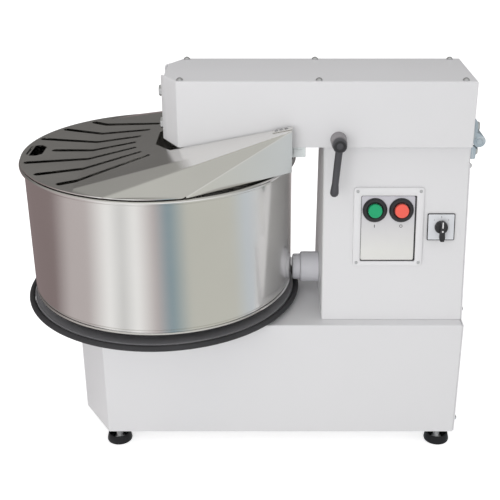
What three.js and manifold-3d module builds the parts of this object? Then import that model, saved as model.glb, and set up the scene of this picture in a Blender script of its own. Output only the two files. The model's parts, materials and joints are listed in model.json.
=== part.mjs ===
// Tilting-head spiral dough mixer, about 35 litres to the rim, in millimetres with +Z up.
// +X runs from the bowl to the rear hinge and -Y is the control-panel side.
// The origin is on the floor, under the centre of the machine's box.
import * as THREE from 'three';
import { mergeVertices } from 'three/addons/utils/BufferGeometryUtils.js';
import Module from 'manifold-3d';

const wasm = await Module();
wasm.setup();
const { Manifold, Mesh } = wasm;

// ---------------------------------------------------------------- driving dimensions
const GAP = 0.3;                       // clearance between pieces that rest on each other
const SHEET = 2;                       // casing sheet thickness

const FOOT_H = 27;                     // floor to base underside
const BASE_TOP = 241;
const SEAM_Z = 534;                    // top of the column, underside of the head
const HEAD_TOP = 642;

const REAR_X = 329.7;                  // rear face of base, column and head
const BASE_HALF = 138;
const BASE_NOSE = { tip: -332.4, tipHalf: 55.7, shoulder: -279.9 };
const HEAD_HALF = 81.3;
const HEAD_NOSE = { tip: -171.8, tipHalf: 31.4, shoulder: -143 };
const COLUMN = { left: 91, halfBottom: 117.7, halfTop: 70.9 };
const LEAN = Math.atan((COLUMN.halfBottom - COLUMN.halfTop) / (SEAM_Z - BASE_TOP));

const BOWL = { x: -183.7, r: 225, wall: 2, bottom: 268.2, skirt: 272, rimZ: 496, rimR: 229, roll: 3.6 };
const DISH = { floor: 244, sheet: 3, lipR: 229, lipTop: 257, seatIn: 180, seatOut: 200 };
const TRIM = { r: 234.3, z: 252.5, half: 5 };
const SPIRAL = { x: -53, helixR: 70, rodR: 11, shaftR: 15, bottom: 294, top: 505 };
const BREAKER = { x: -150, r: 13, bottom: 280 };
const MAIN_X = 250;                    // vertical drive shaft

const CENTRE_X = -35.5;                // middle of the box, in the coordinates used below

const BUFFER = { z: 285.7, tip: 44.5, joint: 58, neck: 61, r: 26.8, noseR: 22.8, stemR: 10, stemEnd: 96 };
const GLAND = { y: 70, z: 70, bodyR: 10, nutR: 14, bore: 5 };
const SCREW = { r: 2.5, hole: 2.9, headR: 5, headH: 3.6 };
const PANEL = {
  mid: 404, x0: 141.5, x1: 256.5, z0: -68.5, z1: 64, border: 12, borderLow: 8, buttonZ: 26,
  buttons: { start: 176.3, stop: 219.8 }, bezelR: 20.3, capR: 11.5, capFront: -14, travel: 3.8,
};
const SELECTOR = { x: 286.3, z: -2.5, halfX: 22.7, halfZ: 22.9, knobR: 11 };
// chain wheels: radius is teeth times pitch radius per tooth, so the ratios are exact
const CHAIN = {
  baseZ: 88, basePerTooth: 2.75, bowlTeeth: 40, pinionTeeth: 8,
  headZ: 594, headPerTooth: 2.7, driveTeeth: 18, spiralTeeth: 10,
};
const SHAFT = { r: 12, clutchR: 25, bottom: 70, joint: 531 };

const HINGE = { x: 342, z: 541, r: 10, half: 70, upperBolt: 561, lowerBolt: 520, boltY: 50 };
const LID_AXIS = { x: 33, z: 559.5, eyeR: 7, rodR: 4 };
const CLAMP = { x: 113.6, z: 548, boss: 12.5, hub: 11.5, spindle: 6 };

const LID = {
  z: 503.1, sheet: 1.5, r: 230, fold: -296, slope: 0.2, end: 39,
  inner: 85, ridge: 107, foldHalf: 185, foldRim: [-242.7, 222.3], ridgeStart: [-119.9, 221],
  wallBottom: 501.5, wallDeep: [-88, -22], slotOuter: 5.2, slotInner: 3.8,
};
const LID_LEAF = { x0: 8, x1: 38, y0: 86, y1: 102, thick: 3 };

// ---------------------------------------------------------------- solids
const toSolid = (geometry) => {
  const g = geometry.clone();
  g.deleteAttribute('normal');
  g.deleteAttribute('uv');
  const merged = mergeVertices(g, 1e-4);
  return new Manifold(new Mesh({
    numProp: 3,
    vertProperties: new Float32Array(merged.attributes.position.array),
    triVerts: new Uint32Array(merged.index.array),
  }));
};

const toGeometry = (solid) => {
  const mesh = solid.getMesh();
  const g = new THREE.BufferGeometry();
  const points = new Float32Array(mesh.numVert * 3);
  for (let i = 0; i < mesh.numVert; i++) {
    for (let k = 0; k < 3; k++) points[3 * i + k] = mesh.vertProperties[mesh.numProp * i + k];
  }
  g.setAttribute('position', new THREE.BufferAttribute(points, 3));
  g.setIndex(new THREE.BufferAttribute(new Uint32Array(mesh.triVerts), 1));
  g.computeVertexNormals();
  return g;
};

const box = (x0, x1, y0, y1, z0, z1) => {
  const g = new THREE.BoxGeometry(x1 - x0, y1 - y0, z1 - z0);
  g.translate((x0 + x1) / 2, (y0 + y1) / 2, (z0 + z1) / 2);
  return toSolid(g);
};

// upright prism over an outline of [x, y] points
const prism = (outline, z0, z1) => {
  const shape = new THREE.Shape(outline.map(([x, y]) => new THREE.Vector2(x, y)));
  const g = new THREE.ExtrudeGeometry(shape, { depth: z1 - z0, bevelEnabled: false });
  g.translate(0, 0, z0);
  return toSolid(g);
};

// cylinder or cone along an axis; at is the other two coordinates in X, Y, Z order
const rod = (axis, at, from, to, r, sides = 16, rEnd = r) => {
  const g = new THREE.CylinderGeometry(rEnd, r, to - from, sides);
  const mid = (from + to) / 2;
  if (axis === 'z') g.rotateX(Math.PI / 2).translate(at[0], at[1], mid);
  if (axis === 'x') g.rotateZ(-Math.PI / 2).translate(mid, at[0], at[1]);
  if (axis === 'y') g.translate(at[0], mid, at[1]);
  return toSolid(g);
};

// solid of revolution about an upright axis; profile is [radius, z] points
const turned = (x, profile, sides) => {
  const closed = profile[0][0] > 0 ? [...profile, profile[0]] : profile;
  const g = new THREE.LatheGeometry(closed.map(([r, z]) => new THREE.Vector2(r, z)), sides);
  g.rotateX(Math.PI / 2).translate(x, 0, 0);
  const solid = toSolid(g);
  if (solid.volume() > 0) return solid;
  const flipped = g.clone();
  flipped.setIndex([...g.index.array].reverse());
  return toSolid(flipped);
};

const union = (...parts) => parts.reduce((a, b) => a.add(b));
const cut = (solid, ...tools) => tools.reduce((a, b) => a.subtract(b), solid);
const arc = (cx, cy, r, from, to, steps) => Array.from({ length: steps + 1 }, (_, i) => {
  const a = THREE.MathUtils.degToRad(from + (to - from) * i / steps);
  return [cx + r * Math.cos(a), cy + r * Math.sin(a)];
});

// ---------------------------------------------------------------- materials
const finish = (color, roughness, metalness) => () =>
  new THREE.MeshStandardMaterial({ color, roughness, metalness });
const paint = finish(0xdedee0, 0.42, 0.0);
const stainless = finish(0xb9b7b3, 0.22, 1.0);
const lidSteel = finish(0x8e8782, 0.3, 1.0);
const zinc = finish(0xb4b8bb, 0.38, 0.9);
const steel = finish(0x8f9296, 0.4, 0.9);
const casting = finish(0xa9b6bf, 0.5, 0.3);
const greyPlastic = finish(0xb9b9bf, 0.5, 0.0);
const black = finish(0x202022, 0.6, 0.0);
const rubber = finish(0x1b1c1e, 0.8, 0.0);
const green = finish(0x1fa870, 0.35, 0.0);
const red = finish(0xf2584c, 0.35, 0.0);
const plate = finish(0xe3e3e6, 0.4, 0.1);
const milky = finish(0xdfe6e4, 0.35, 0.0);

const machine = new THREE.Group();
// the solids below are placed from the seam between column and head; this centres the box
machine.position.x = -CENTRE_X;
const place = (name, solid, material, parent = machine) => {
  const mesh = new THREE.Mesh(toGeometry(solid), material());
  mesh.name = name;
  parent.add(mesh);
  return mesh;
};

// ---------------------------------------------------------------- shared outlines
const nosed = (nose, half, rear, inset) => {
  const side = half - inset;
  const tip = nose.tip + inset;
  const rise = (half - nose.tipHalf) / (nose.shoulder - nose.tip);
  const tipHalf = nose.tipHalf - inset * (Math.hypot(1, rise) - rise);
  const shoulder = nose.shoulder + inset * (Math.hypot(1, rise) - 1) / rise;
  return [[rear - inset, -side], [rear - inset, side], [shoulder, side], [tip, tipHalf],
    [tip, -tipHalf], [shoulder, -side]];
};

// half width of the column at a height
const columnHalf = (z) => COLUMN.halfTop + (SEAM_Z - z) * Math.tan(LEAN);

// column body, narrowing upwards, as a prism along X
const columnSolid = (x0, x1, z0, z1, inset) => {
  const a = columnHalf(z0) - inset;
  const b = columnHalf(z1) - inset;
  const shape = new THREE.Shape([[-a, z0], [a, z0], [b, z1], [-b, z1]]
    .map(([y, z]) => new THREE.Vector2(y, z)));
  const g = new THREE.ExtrudeGeometry(shape, { depth: x1 - x0, bevelEnabled: false });
  g.applyMatrix4(new THREE.Matrix4().set(0, 0, 1, x0, 1, 0, 0, 0, 0, 1, 0, 0, 0, 0, 0, 1));
  return toSolid(g);
};

// rear cover screws, [y, z]
const REAR_SCREWS = [[-65.5, 498.7], [65.5, 498.7], [-130, 52], [130, 52]];
const HINGE_BOLTS = [-HINGE.boltY, HINGE.boltY];
const FEET = [[-265, -119], [-265, 119], [303, -119], [303, 119]];
const COVER_X = REAR_X - SHEET;        // inner face of the rear cover
const COVER_TOP = 506;

// ---------------------------------------------------------------- base and column
const makeBase = () => {
  const outer = prism(nosed(BASE_NOSE, BASE_HALF, COVER_X - GAP, 0), FOOT_H, BASE_TOP);
  const inner = prism(nosed(BASE_NOSE, BASE_HALF, COVER_X - GAP, SHEET), FOOT_H + SHEET,
    BASE_TOP - SHEET);
  const rearMouth = box(COVER_X - 10, COVER_X + 5, -BASE_HALF + 18, BASE_HALF - 18,
    FOOT_H + 18, BASE_TOP - 12);
  let shell = cut(outer, inner, rearMouth,
    rod('z', [BOWL.x, 0], BASE_TOP - 10, BASE_TOP + 5, 28, 24),
    rod('z', [MAIN_X, 0], BASE_TOP - 10, BASE_TOP + 5, 30, 24),
    box(120, 190, -30, 30, BASE_TOP - 10, BASE_TOP + 5));
  for (const [x, y] of FEET) shell = cut(shell, rod('z', [x, y], FOOT_H - 1, FOOT_H + 5, 6.4, 12));
  for (const [y, z] of REAR_SCREWS.filter(([, h]) => h < BASE_TOP)) {
    shell = cut(shell, rod('x', [y, z], COVER_X - 10, COVER_X + 5, SCREW.hole, 10));
  }
  place('base_housing', shell, paint);
};

const makeColumn = () => {
  const foot = BASE_TOP + GAP;
  const rear = COVER_X - GAP;
  const top = SEAM_Z - 0.5;
  const outer = columnSolid(COLUMN.left, rear, foot, top, 0);
  const inner = columnSolid(COLUMN.left + SHEET, rear - SHEET, foot - 1, top - SHEET, SHEET);
  // the opening behind the rear cover, leaving a flange for its screws and for the hinge
  const mouth = columnSolid(rear - 10, rear + 5, foot - 1, 488, 18);
  let shell = cut(outer, inner, mouth,
    rod('z', [MAIN_X, 0], top - 10, top + 5, 31, 24));
  // thickening plate that the lower hinge bolts screw into
  shell = shell.add(box(rear - 6, rear, -62, 62, COVER_TOP, top));
  // seat that raises the hinge zone flush with the rear cover
  shell = shell.add(box(rear - 1, REAR_X, -HINGE.half, HINGE.half, COVER_TOP + GAP, top));
  // tongue that reaches into the head, notched for the clamp spindle
  const tongue = cut(box(CLAMP.x - 16, CLAMP.x + 16, -69.5, -64.5, top - 2, CLAMP.z + 17),
    box(CLAMP.x - 7.5, CLAMP.x + 7.5, -75, -60, CLAMP.z, CLAMP.z + 30),
    rod('y', [CLAMP.x, CLAMP.z], -75, -60, 7.5, 16));
  shell = shell.add(tongue);
  for (const [y, z] of REAR_SCREWS.filter(([, h]) => h > BASE_TOP)) {
    shell = cut(shell, rod('x', [y, z], rear - 10, rear + 5, SCREW.hole, 10));
  }
  for (const y of HINGE_BOLTS) {
    shell = cut(shell, rod('x', [y, HINGE.lowerBolt], rear - 20, REAR_X + 5, 4.4, 12));
  }
  // bore for the bowl buffer's stem
  shell = cut(shell, rod('x', [0, BUFFER.z], COLUMN.left - 5, COLUMN.left + 10, BUFFER.stemR + 0.4, 16));
  place('column_housing', shell, paint);
};

const makeRearCover = () => {
  const lower = box(COVER_X, REAR_X, -BASE_HALF, BASE_HALF, FOOT_H + 2, BASE_TOP);
  const upper = columnSolid(COVER_X, REAR_X, BASE_TOP - 1, COVER_TOP, 0);
  let cover = union(lower, upper);
  for (const [y, z] of REAR_SCREWS) {
    cover = cut(cover, rod('x', [y, z], COVER_X - 5, REAR_X + 5, SCREW.hole, 10));
  }
  const glandAt = [GLAND.y, GLAND.z];
  cover = cut(cover, rod('x', glandAt, COVER_X - 5, REAR_X + 5, GLAND.bodyR + 0.4, 16));
  place('rear_cover', cover, paint);
  REAR_SCREWS.forEach(([y, z], i) => {
    const screw = union(
      rod('x', [y, z], REAR_X + GAP, REAR_X + SCREW.headH, SCREW.headR, 10, SCREW.headR - 1.4),
      rod('x', [y, z], COVER_X - 10, REAR_X + 1, SCREW.r, 8));
    place(`rear_screw_${i + 1}`, screw, zinc);
  });
  const gland = union(rod('x', glandAt, COVER_X - 14, REAR_X + 1, GLAND.bodyR, 16),
    rod('x', glandAt, REAR_X + GAP, REAR_X + 6, GLAND.nutR, 6),
    rod('x', glandAt, REAR_X + 5.9, REAR_X + 16, 11.5, 16, 9));
  place('cable_gland', cut(gland, rod('x', glandAt, COVER_X - 20, REAR_X + 20, GLAND.bore, 12)), black);
};

const makeFeet = () => FEET.forEach(([x, y], i) => {
  // a shallow conical cup, open at the top, with the stud standing on its sole
  const cup = [[0, 0], [21, 0], [22, 2.5], [22, 4], [19.3, 15.5], [17, 15.5], [18.8, 4.5], [0, 4]];
  const pad = turned(x, cup, 16);
  const stud = rod('z', [x, 0], 3, 62, 5.8, 8);
  const nut = rod('z', [x, 0], FOOT_H + SHEET + GAP, FOOT_H + SHEET + 8, 9.5, 6);
  place(`levelling_foot_${i + 1}`, union(pad, stud, nut).translate([0, y, 0]), rubber);
});

// ---------------------------------------------------------------- control panel
// built on the column's leaning front face: local +Z up the slope, -Y outwards
const makeControls = () => {
  const face = new THREE.Group();
  face.position.set(0, -columnHalf(PANEL.mid), PANEL.mid);
  face.rotation.x = -LEAN;
  machine.add(face);

  const { x0, x1, z0, z1, border, borderLow, buttonZ, bezelR, capR, capFront, travel } = PANEL;
  const rim = cut(box(x0, x1, -6, -GAP, z0, z1),
    box(x0 + border, x1 - border, -10, 5, z0 + borderLow, z1 - border - 1.5));
  place('control_frame', rim, plate, face);

  let panel = box(x0 + border + GAP, x1 - border - GAP, -3, -GAP, z0 + borderLow + GAP,
    z1 - border - 1.5 - GAP);
  for (const x of Object.values(PANEL.buttons)) {
    panel = cut(panel, rod('y', [x, buttonZ], -10, 5, 15.3, 20));
  }
  place('control_face', panel, plate, face);

  for (const [name, x] of Object.entries(PANEL.buttons)) {
    const ring = cut(union(rod('y', [x, buttonZ], -9, -3 - GAP, bezelR, 28),
      rod('y', [x, buttonZ], -3.5, -0.4, 15, 20)),
    rod('y', [x, buttonZ], -20, 5, capR + 0.5, 20));
    place(`${name}_bezel`, ring, black, face);
    // the cap's back stays clear of the column at the end of its travel
    const cap = union(rod('y', [x, buttonZ], capFront + 1, -travel - 0.8, capR, 20),
      rod('y', [x, buttonZ], capFront, capFront + 1.1, capR - 1.5, 20, capR));
    place(`${name}_button`, cap, name === 'start' ? green : red, face);
  }

  const { x: sx, z: sz, halfX, halfZ, knobR } = SELECTOR;
  const dial = cut(box(sx - halfX, sx + halfX, -3, -GAP, sz - halfZ, sz + halfZ),
    rod('y', [sx, sz], -10, 5, 5.5, 16));
  place('selector_plate', dial, plate, face);
  const knob = union(rod('y', [sx, sz], -12, -3 - GAP, knobR, 24), rod('y', [sx, sz], -3.5, -0.4, 5, 16),
    box(sx - 3.6, sx + 3.6, -20, -11.9, sz - 22, sz + 13));
  place('selector_knob', knob, black, face);
};

// ---------------------------------------------------------------- bowl buffer
const makeBuffer = () => {
  const { z, tip, joint, neck, r, noseR, stemR, stemEnd } = BUFFER;
  const at = [0, z];
  const sleeve = union(rod('x', at, neck, COLUMN.left - GAP, r, 28),
    rod('x', at, joint, neck + 0.1, r - 2, 28, r), rod('x', at, neck + 19, stemEnd, stemR, 16));
  place('buffer_sleeve', cut(sleeve, rod('x', at, joint - 8, joint + 18, 12.5, 20)), greyPlastic);
  const nose = union(rod('x', at, tip, joint - GAP, noseR, 28), rod('x', at, joint - 1, joint + 17, 12, 20));
  place('buffer_nose', nose, greyPlastic);
};

// ---------------------------------------------------------------- rear hinge
const makeHinge = () => {
  const bore = rod('y', [HINGE.x, HINGE.z], -99, 99, 5.4, 16);
  const leaf = (z0, z1, boltZ) => {
    const body = box(REAR_X + GAP, REAR_X + 8, -HINGE.half, HINGE.half, z0, z1);
    return cut(body, ...HINGE_BOLTS.map((y) => rod('x', [y, boltZ], 300, 400, 4.4, 12)));
  };
  const knuckle = (y0, y1) => union(rod('y', [HINGE.x, HINGE.z], y0, y1, HINGE.r, 20),
    box(REAR_X + 1, HINGE.x, y0, y1, HINGE.z - 4, HINGE.z + 4));
  let head = leaf(HINGE.z + 3.5, 577, HINGE.upperBolt);
  for (const s of [-1, 1]) {
    const [a, b] = [s * 35, s * HINGE.half].sort((p, q) => p - q);
    head = head.add(knuckle(a, b));
  }
  // clearance round the column leaf's knuckle
  head = cut(head, rod('y', [HINGE.x, HINGE.z], -35, 35, HINGE.r + 0.6, 20), bore);
  place('hinge_head_leaf', head, casting);
  let column = leaf(511, SEAM_Z - 0.5, HINGE.lowerBolt).add(
    union(rod('y', [HINGE.x, HINGE.z], -34.6, 34.6, HINGE.r, 20),
      box(REAR_X + 1, HINGE.x, -34.6, 34.6, HINGE.z - 10, HINGE.z - 3)));
  for (const s of [-1, 1]) {
    const [a, b] = [s * 34.7, s * 71].sort((p, q) => p - q);
    column = cut(column, rod('y', [HINGE.x, HINGE.z], a, b, HINGE.r + 0.6, 20));
  }
  place('hinge_column_leaf', cut(column, bore), casting);
  place('hinge_pin', union(rod('y', [HINGE.x, HINGE.z], -HINGE.half - 2, HINGE.half + 2, 5, 16),
    rod('y', [HINGE.x, HINGE.z], -HINGE.half - 4, -HINGE.half - GAP, 7, 16)), zinc);
  const bolt = (y, z) => union(rod('x', [y, z], REAR_X + 8 + GAP, REAR_X + 14, 8.3, 6),
    rod('x', [y, z], REAR_X - 12, REAR_X + 9, 4, 12));
  HINGE_BOLTS.forEach((y, i) => {
    place(`hinge_head_bolt_${i + 1}`, bolt(y, HINGE.upperBolt), zinc);
    place(`hinge_column_bolt_${i + 1}`, bolt(y, HINGE.lowerBolt), zinc);
  });
};

// ---------------------------------------------------------------- head
const HEAD_SCREWS = [-137.4, 81, 311].flatMap((x) => [-73.1, 73.1].map((y) => [x, y]));
const NOSE_BOLTS = [552, 607];

const makeHead = () => {
  const bottom = SEAM_Z + GAP;
  const outer = prism(nosed(HEAD_NOSE, HEAD_HALF, REAR_X, 0), bottom, HEAD_TOP);
  const inner = prism(nosed(HEAD_NOSE, HEAD_HALF, REAR_X, SHEET), bottom - 5, HEAD_TOP - SHEET);
  let cover = cut(outer, inner,
    rod('y', [CLAMP.x, CLAMP.z], -HEAD_HALF - 5, -HEAD_HALF + 5, CLAMP.boss + 0.5, 24),
    rod('y', [LID_AXIS.x, LID_AXIS.z], -99, 99, 4.4, 12));
  for (const [x, y] of HEAD_SCREWS) {
    cover = cut(cover, rod('z', [x, y], HEAD_TOP - 5, HEAD_TOP + 5, SCREW.hole, 10));
  }
  for (const z of NOSE_BOLTS) cover = cut(cover, rod('x', [0, z], -180, -160, 5.4, 12));
  for (const y of HINGE_BOLTS) cover = cut(cover, rod('x', [y, HINGE.upperBolt], 300, 340, 4.4, 12));
  place('head_cover', cover, paint);

  // the frame is a deep tray with inward lips at its top edge for the cover screws
  const skin = SHEET + 0.5;
  const wall = 4;
  const trayTop = HEAD_TOP - SHEET - GAP;
  const trayOuter = prism(nosed(HEAD_NOSE, HEAD_HALF, REAR_X, skin), bottom + 0.4, trayTop);
  const trayInner = prism(nosed(HEAD_NOSE, HEAD_HALF, REAR_X, skin + wall), bottom + 4.4,
    trayTop - 3);
  const trayMouth = prism(nosed(HEAD_NOSE, HEAD_HALF, REAR_X, skin + 16), trayTop - 5, trayTop + 5);
  let frame = cut(trayOuter, trayInner, trayMouth);
  frame = union(frame,
    rod('y', [CLAMP.x, CLAMP.z], -106, -HEAD_HALF + skin + 2, CLAMP.boss, 24),
    rod('z', [MAIN_X, 0], bottom + 3, 572, 24, 20));
  frame = cut(frame,
    rod('y', [CLAMP.x, CLAMP.z], -120, -60, CLAMP.spindle + 0.4, 16),
    rod('y', [LID_AXIS.x, LID_AXIS.z], -99, 99, 4.4, 12),
    rod('z', [MAIN_X, 0], 520, 580, 12.5, 20),
    rod('z', [SPIRAL.x, 0], 520, 545, SPIRAL.shaftR + 1, 20),
    rod('z', [BREAKER.x, 0], 520, 545, BREAKER.r + 0.4, 16),
    box(CLAMP.x - 22, CLAMP.x + 20, -72, -60, 530, 545));
  for (const [x, y] of HEAD_SCREWS) {
    frame = cut(frame, rod('z', [x, y], trayTop - 9, trayTop + 5, SCREW.hole, 10));
  }
  for (const z of NOSE_BOLTS) frame = cut(frame, rod('x', [0, z], -180, -155, 5.4, 12));
  for (const y of HINGE_BOLTS) frame = cut(frame, rod('x', [y, HINGE.upperBolt], 300, 340, 4.4, 12));
  place('head_frame', frame, paint);

  HEAD_SCREWS.forEach(([x, y], i) => {
    const screw = union(rod('z', [x, y], HEAD_TOP + GAP, HEAD_TOP + 4, 5.2, 10, 3.8),
      rod('z', [x, y], HEAD_TOP - 8, HEAD_TOP + 1, SCREW.r, 8));
    place(`head_screw_${i + 1}`, screw, zinc);
  });
  NOSE_BOLTS.forEach((z, i) => {
    const bolt = union(rod('x', [0, z], HEAD_NOSE.tip - 7, HEAD_NOSE.tip - GAP, 9.6, 6),
      rod('x', [0, z], HEAD_NOSE.tip - 1, -152, 5, 12));
    place(`nose_bolt_${i + 1}`, bolt, zinc);
  });

  const block = box(-164.9, -136, -20, 20, bottom + 5, 625);
  let bar = union(rod('z', [BREAKER.x, 0], BREAKER.bottom + 4, 560, BREAKER.r, 20),
    rod('z', [BREAKER.x, 0], BREAKER.bottom, BREAKER.bottom + 4.1, BREAKER.r - 4, 20, BREAKER.r), block);
  for (const z of NOSE_BOLTS) bar = cut(bar, rod('x', [0, z], -170, -151, 5.4, 12));
  place('breaker_bar', bar, stainless);

  const bearing = cut(union(rod('z', [SPIRAL.x, 0], bottom + 4.8, bottom + 16, 46, 24),
    rod('z', [SPIRAL.x, 0], bottom + 15, 580, 34, 24)),
  rod('z', [SPIRAL.x, 0], 520, 590, SPIRAL.shaftR + 0.4, 20));
  place('spiral_bearing', bearing, steel);

  place('lid_switch_box', box(38, 62, -72, -48, 514.5, bottom - 0.1), milky);
};

// ---------------------------------------------------------------- lid
// a half space below the plane through three points, as a very large box
const below = (a, b, c) => {
  const [p, q, r] = [a, b, c].map((v) => new THREE.Vector3(...v));
  const n = q.clone().sub(p).cross(r.clone().sub(p)).normalize();
  if (n.z < 0) n.negate();
  const g = new THREE.BoxGeometry(4000, 4000, 2000);
  g.translate(0, 0, -1000);
  g.applyQuaternion(new THREE.Quaternion().setFromUnitVectors(new THREE.Vector3(0, 0, 1), n));
  g.translate(p.x, p.y, p.z);
  return toSolid(g);
};

const makeLid = () => {
  const { z, sheet, r, fold, slope, end, inner, ridge, wallBottom, slotOuter, slotInner } = LID;
  const ridgeZ = z + slope * (end - fold);
  const apex = (s) => [end, s * ridge, ridgeZ];
  const start = (s) => [LID.ridgeStart[0], s * LID.ridgeStart[1], z];
  const mid = (s) => [LID.foldRim[0], s * LID.foldRim[1], z];
  // the raised part is a low roof: a sloping centre panel between two fanned panels a side
  const roof = [below([fold, 0, z], [fold, 50, z], apex(1)),
    ...[-1, 1].flatMap((s) => [below([fold, s * LID.foldHalf, z], mid(s), apex(s)),
      below(mid(s), start(s), apex(s))])].reduce((a, b) => a.intersect(b));
  const surface = below([0, 0, z], [1, 0, z], [0, 1, z]).add(roof);
  const slab = surface.subtract(surface.translate([0, 0, -sheet]));

  const side = (s) => [[LID.ridgeStart[0], s * LID.ridgeStart[1]], [end, s * ridge]];
  const lead = THREE.MathUtils.radToDeg(
    Math.atan2(LID.ridgeStart[1], LID.ridgeStart[0] - BOWL.x));
  const outline = [...arc(BOWL.x, 0, r, lead, 360 - lead, 44), ...side(-1).slice(1),
    [end, -inner], [-156, -inner], [-184.5, -36], [-184.5, 36], [-156, inner], [end, inner],
    ...side(1).slice(1)];
  let panel = prism(outline, 480, 620).intersect(slab);

  // upright side walls under the two ridges; their feet stay above the rim where they cross it
  for (const s of [-1, 1]) {
    const [a, b] = side(s);
    const d = new THREE.Vector2(b[0] - a[0], b[1] - a[1]).normalize();
    const n = [-d.y * s * -sheet, d.x * s * -sheet];
    const strip = [a, b, [b[0] + n[0], b[1] + n[1]], [a[0] + d.x * 3 + n[0], a[1] + d.y * 3 + n[1]]];
    const wall = prism(s < 0 ? strip : strip.slice().reverse(), wallBottom - 4, 620)
      .intersect(surface.translate([0, 0, -0.2]));
    const [deepFrom, deepTo] = LID.wallDeep;
    panel = panel.add(cut(wall, box(-200, deepFrom, -300, 300, 400, wallBottom),
      box(deepTo, end + 5, -300, 300, 400, wallBottom)));
  }

  // slots fan out from a point under the head
  const slots = [[[-359, 0], [-226, 0]]];
  const ends = [[[-392.5, 63.5], [-221.5, 31]], [[-363, 119.5], [-209.3, 61.5]],
    [[-319, 164], [-192.5, 88]]];
  for (const [from, to] of ends) {
    for (const s of [-1, 1]) slots.push([[from[0], s * from[1]], [to[0], s * to[1]]]);
  }
  for (const [[x0, y0], [x1, y1]] of slots) {
    const a = THREE.MathUtils.radToDeg(Math.atan2(y1 - y0, x1 - x0));
    const pill = [...arc(x0, y0, slotOuter, a + 90, a + 270, 5),
      ...arc(x1, y1, slotInner, a - 90, a + 90, 5)];
    panel = cut(panel, prism(pill, 480, 620));
  }
  const hand = [[-399, -28], [-386, -28], [-378, -20], [-378, 20], [-386, 28], [-399, 28]];
  panel = cut(panel, prism(hand, 480, 620));
  place('lid_panel', panel, lidSteel);

  // each hinge leaf lies under the sheet and carries the eye that turns on the rod
  const lidAxis = [LID_AXIS.x, LID_AXIS.z];
  const under = surface.translate([0, 0, -sheet - GAP]);
  const { x0: leafX0, x1: leafX1, y0: leafIn, y1: leafOut, thick } = LID_LEAF;
  for (const [name, s] of [['lid_hinge_front', -1], ['lid_hinge_back', 1]]) {
    const [y0, y1] = [s * leafIn, s * leafOut].sort((p, q) => p - q);
    const strap = box(leafX0, leafX1, y0, y1, 540, 600).intersect(under)
      .subtract(under.translate([0, 0, -thick]));
    const leaf = union(strap, rod('y', lidAxis, y0, y1, LID_AXIS.eyeR, 20)).intersect(under);
    place(name, cut(leaf, rod('y', lidAxis, -200, 200, LID_AXIS.rodR + 0.4, 12)), stainless);
  }
  place('lid_hinge_rod', rod('y', lidAxis, -104, 104, LID_AXIS.rodR, 12), zinc);
};

// ---------------------------------------------------------------- bowl and carrier dish
const makeBowl = () => {
  const { x, r, wall, bottom, skirt, rimZ, rimR, roll } = BOWL;
  const inR = r - wall;
  const profile = [[0, bottom], [r - 16, bottom], [r - 3, bottom + 1], [r, skirt], [r, rimZ - 3],
    ...arc(rimR, rimZ, roll, -145, 125, 8), [inR, rimZ + 1], [inR, bottom + 12],
    [inR - 3, bottom + 5], [inR - 11, bottom + 2.6], [0, bottom + 2.6]];
  place('bowl', turned(x, profile, 48), stainless);

  const { floor, sheet, lipR, lipTop, seatIn, seatOut } = DISH;
  const dish = [[0, floor + sheet], [seatIn, floor + sheet], [seatIn, bottom - GAP],
    [seatOut, bottom - GAP], [seatOut, floor + sheet + 2], [seatOut + 6, floor + sheet],
    [lipR - 13, floor + sheet + 0.5], [lipR - 4, floor + sheet + 5], [lipR - 2, lipTop],
    [lipR, lipTop], [lipR, floor + 3.5], [lipR - 7, floor], [20, floor], [20, 72], [0, 72]];
  place('carrier_dish', turned(x, dish, 48), steel);

  const ring = arc(TRIM.r, TRIM.z, TRIM.half, 0, 315, 7);
  place('dish_rubber_rim', turned(x, ring.map(([a, b]) => [Math.max(a, lipR + GAP), b]), 48), rubber);
};

// ---------------------------------------------------------------- drive
// toothed wheel with a bore
const sprocket = (x, z0, z1, r, teeth, bore) => {
  const outline = Array.from({ length: teeth * 2 }, (_, i) => {
    const a = Math.PI * (i + 0.5) / teeth;
    const rr = i % 2 ? r - 4 : r;
    return [x + rr * Math.cos(a), rr * Math.sin(a)];
  });
  return cut(prism(outline, z0, z1), rod('z', [x, 0], z0 - 5, z1 + 5, bore, 20));
};

// chain loop round two wheels, as a plain band
const chain = (xa, ra, xb, rb, z0, z1) => {
  const loop = (grow) => {
    const [p, q] = [ra + grow, rb + grow];
    const tilt = THREE.MathUtils.radToDeg(Math.acos((p - q) / (xb - xa)));
    return [...arc(xa, 0, p, tilt, 360 - tilt, 22), ...arc(xb, 0, q, -tilt, tilt, 12)];
  };
  return cut(prism(loop(7), z0, z1), prism(loop(0.8), z0 - 5, z1 + 5));
};

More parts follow.
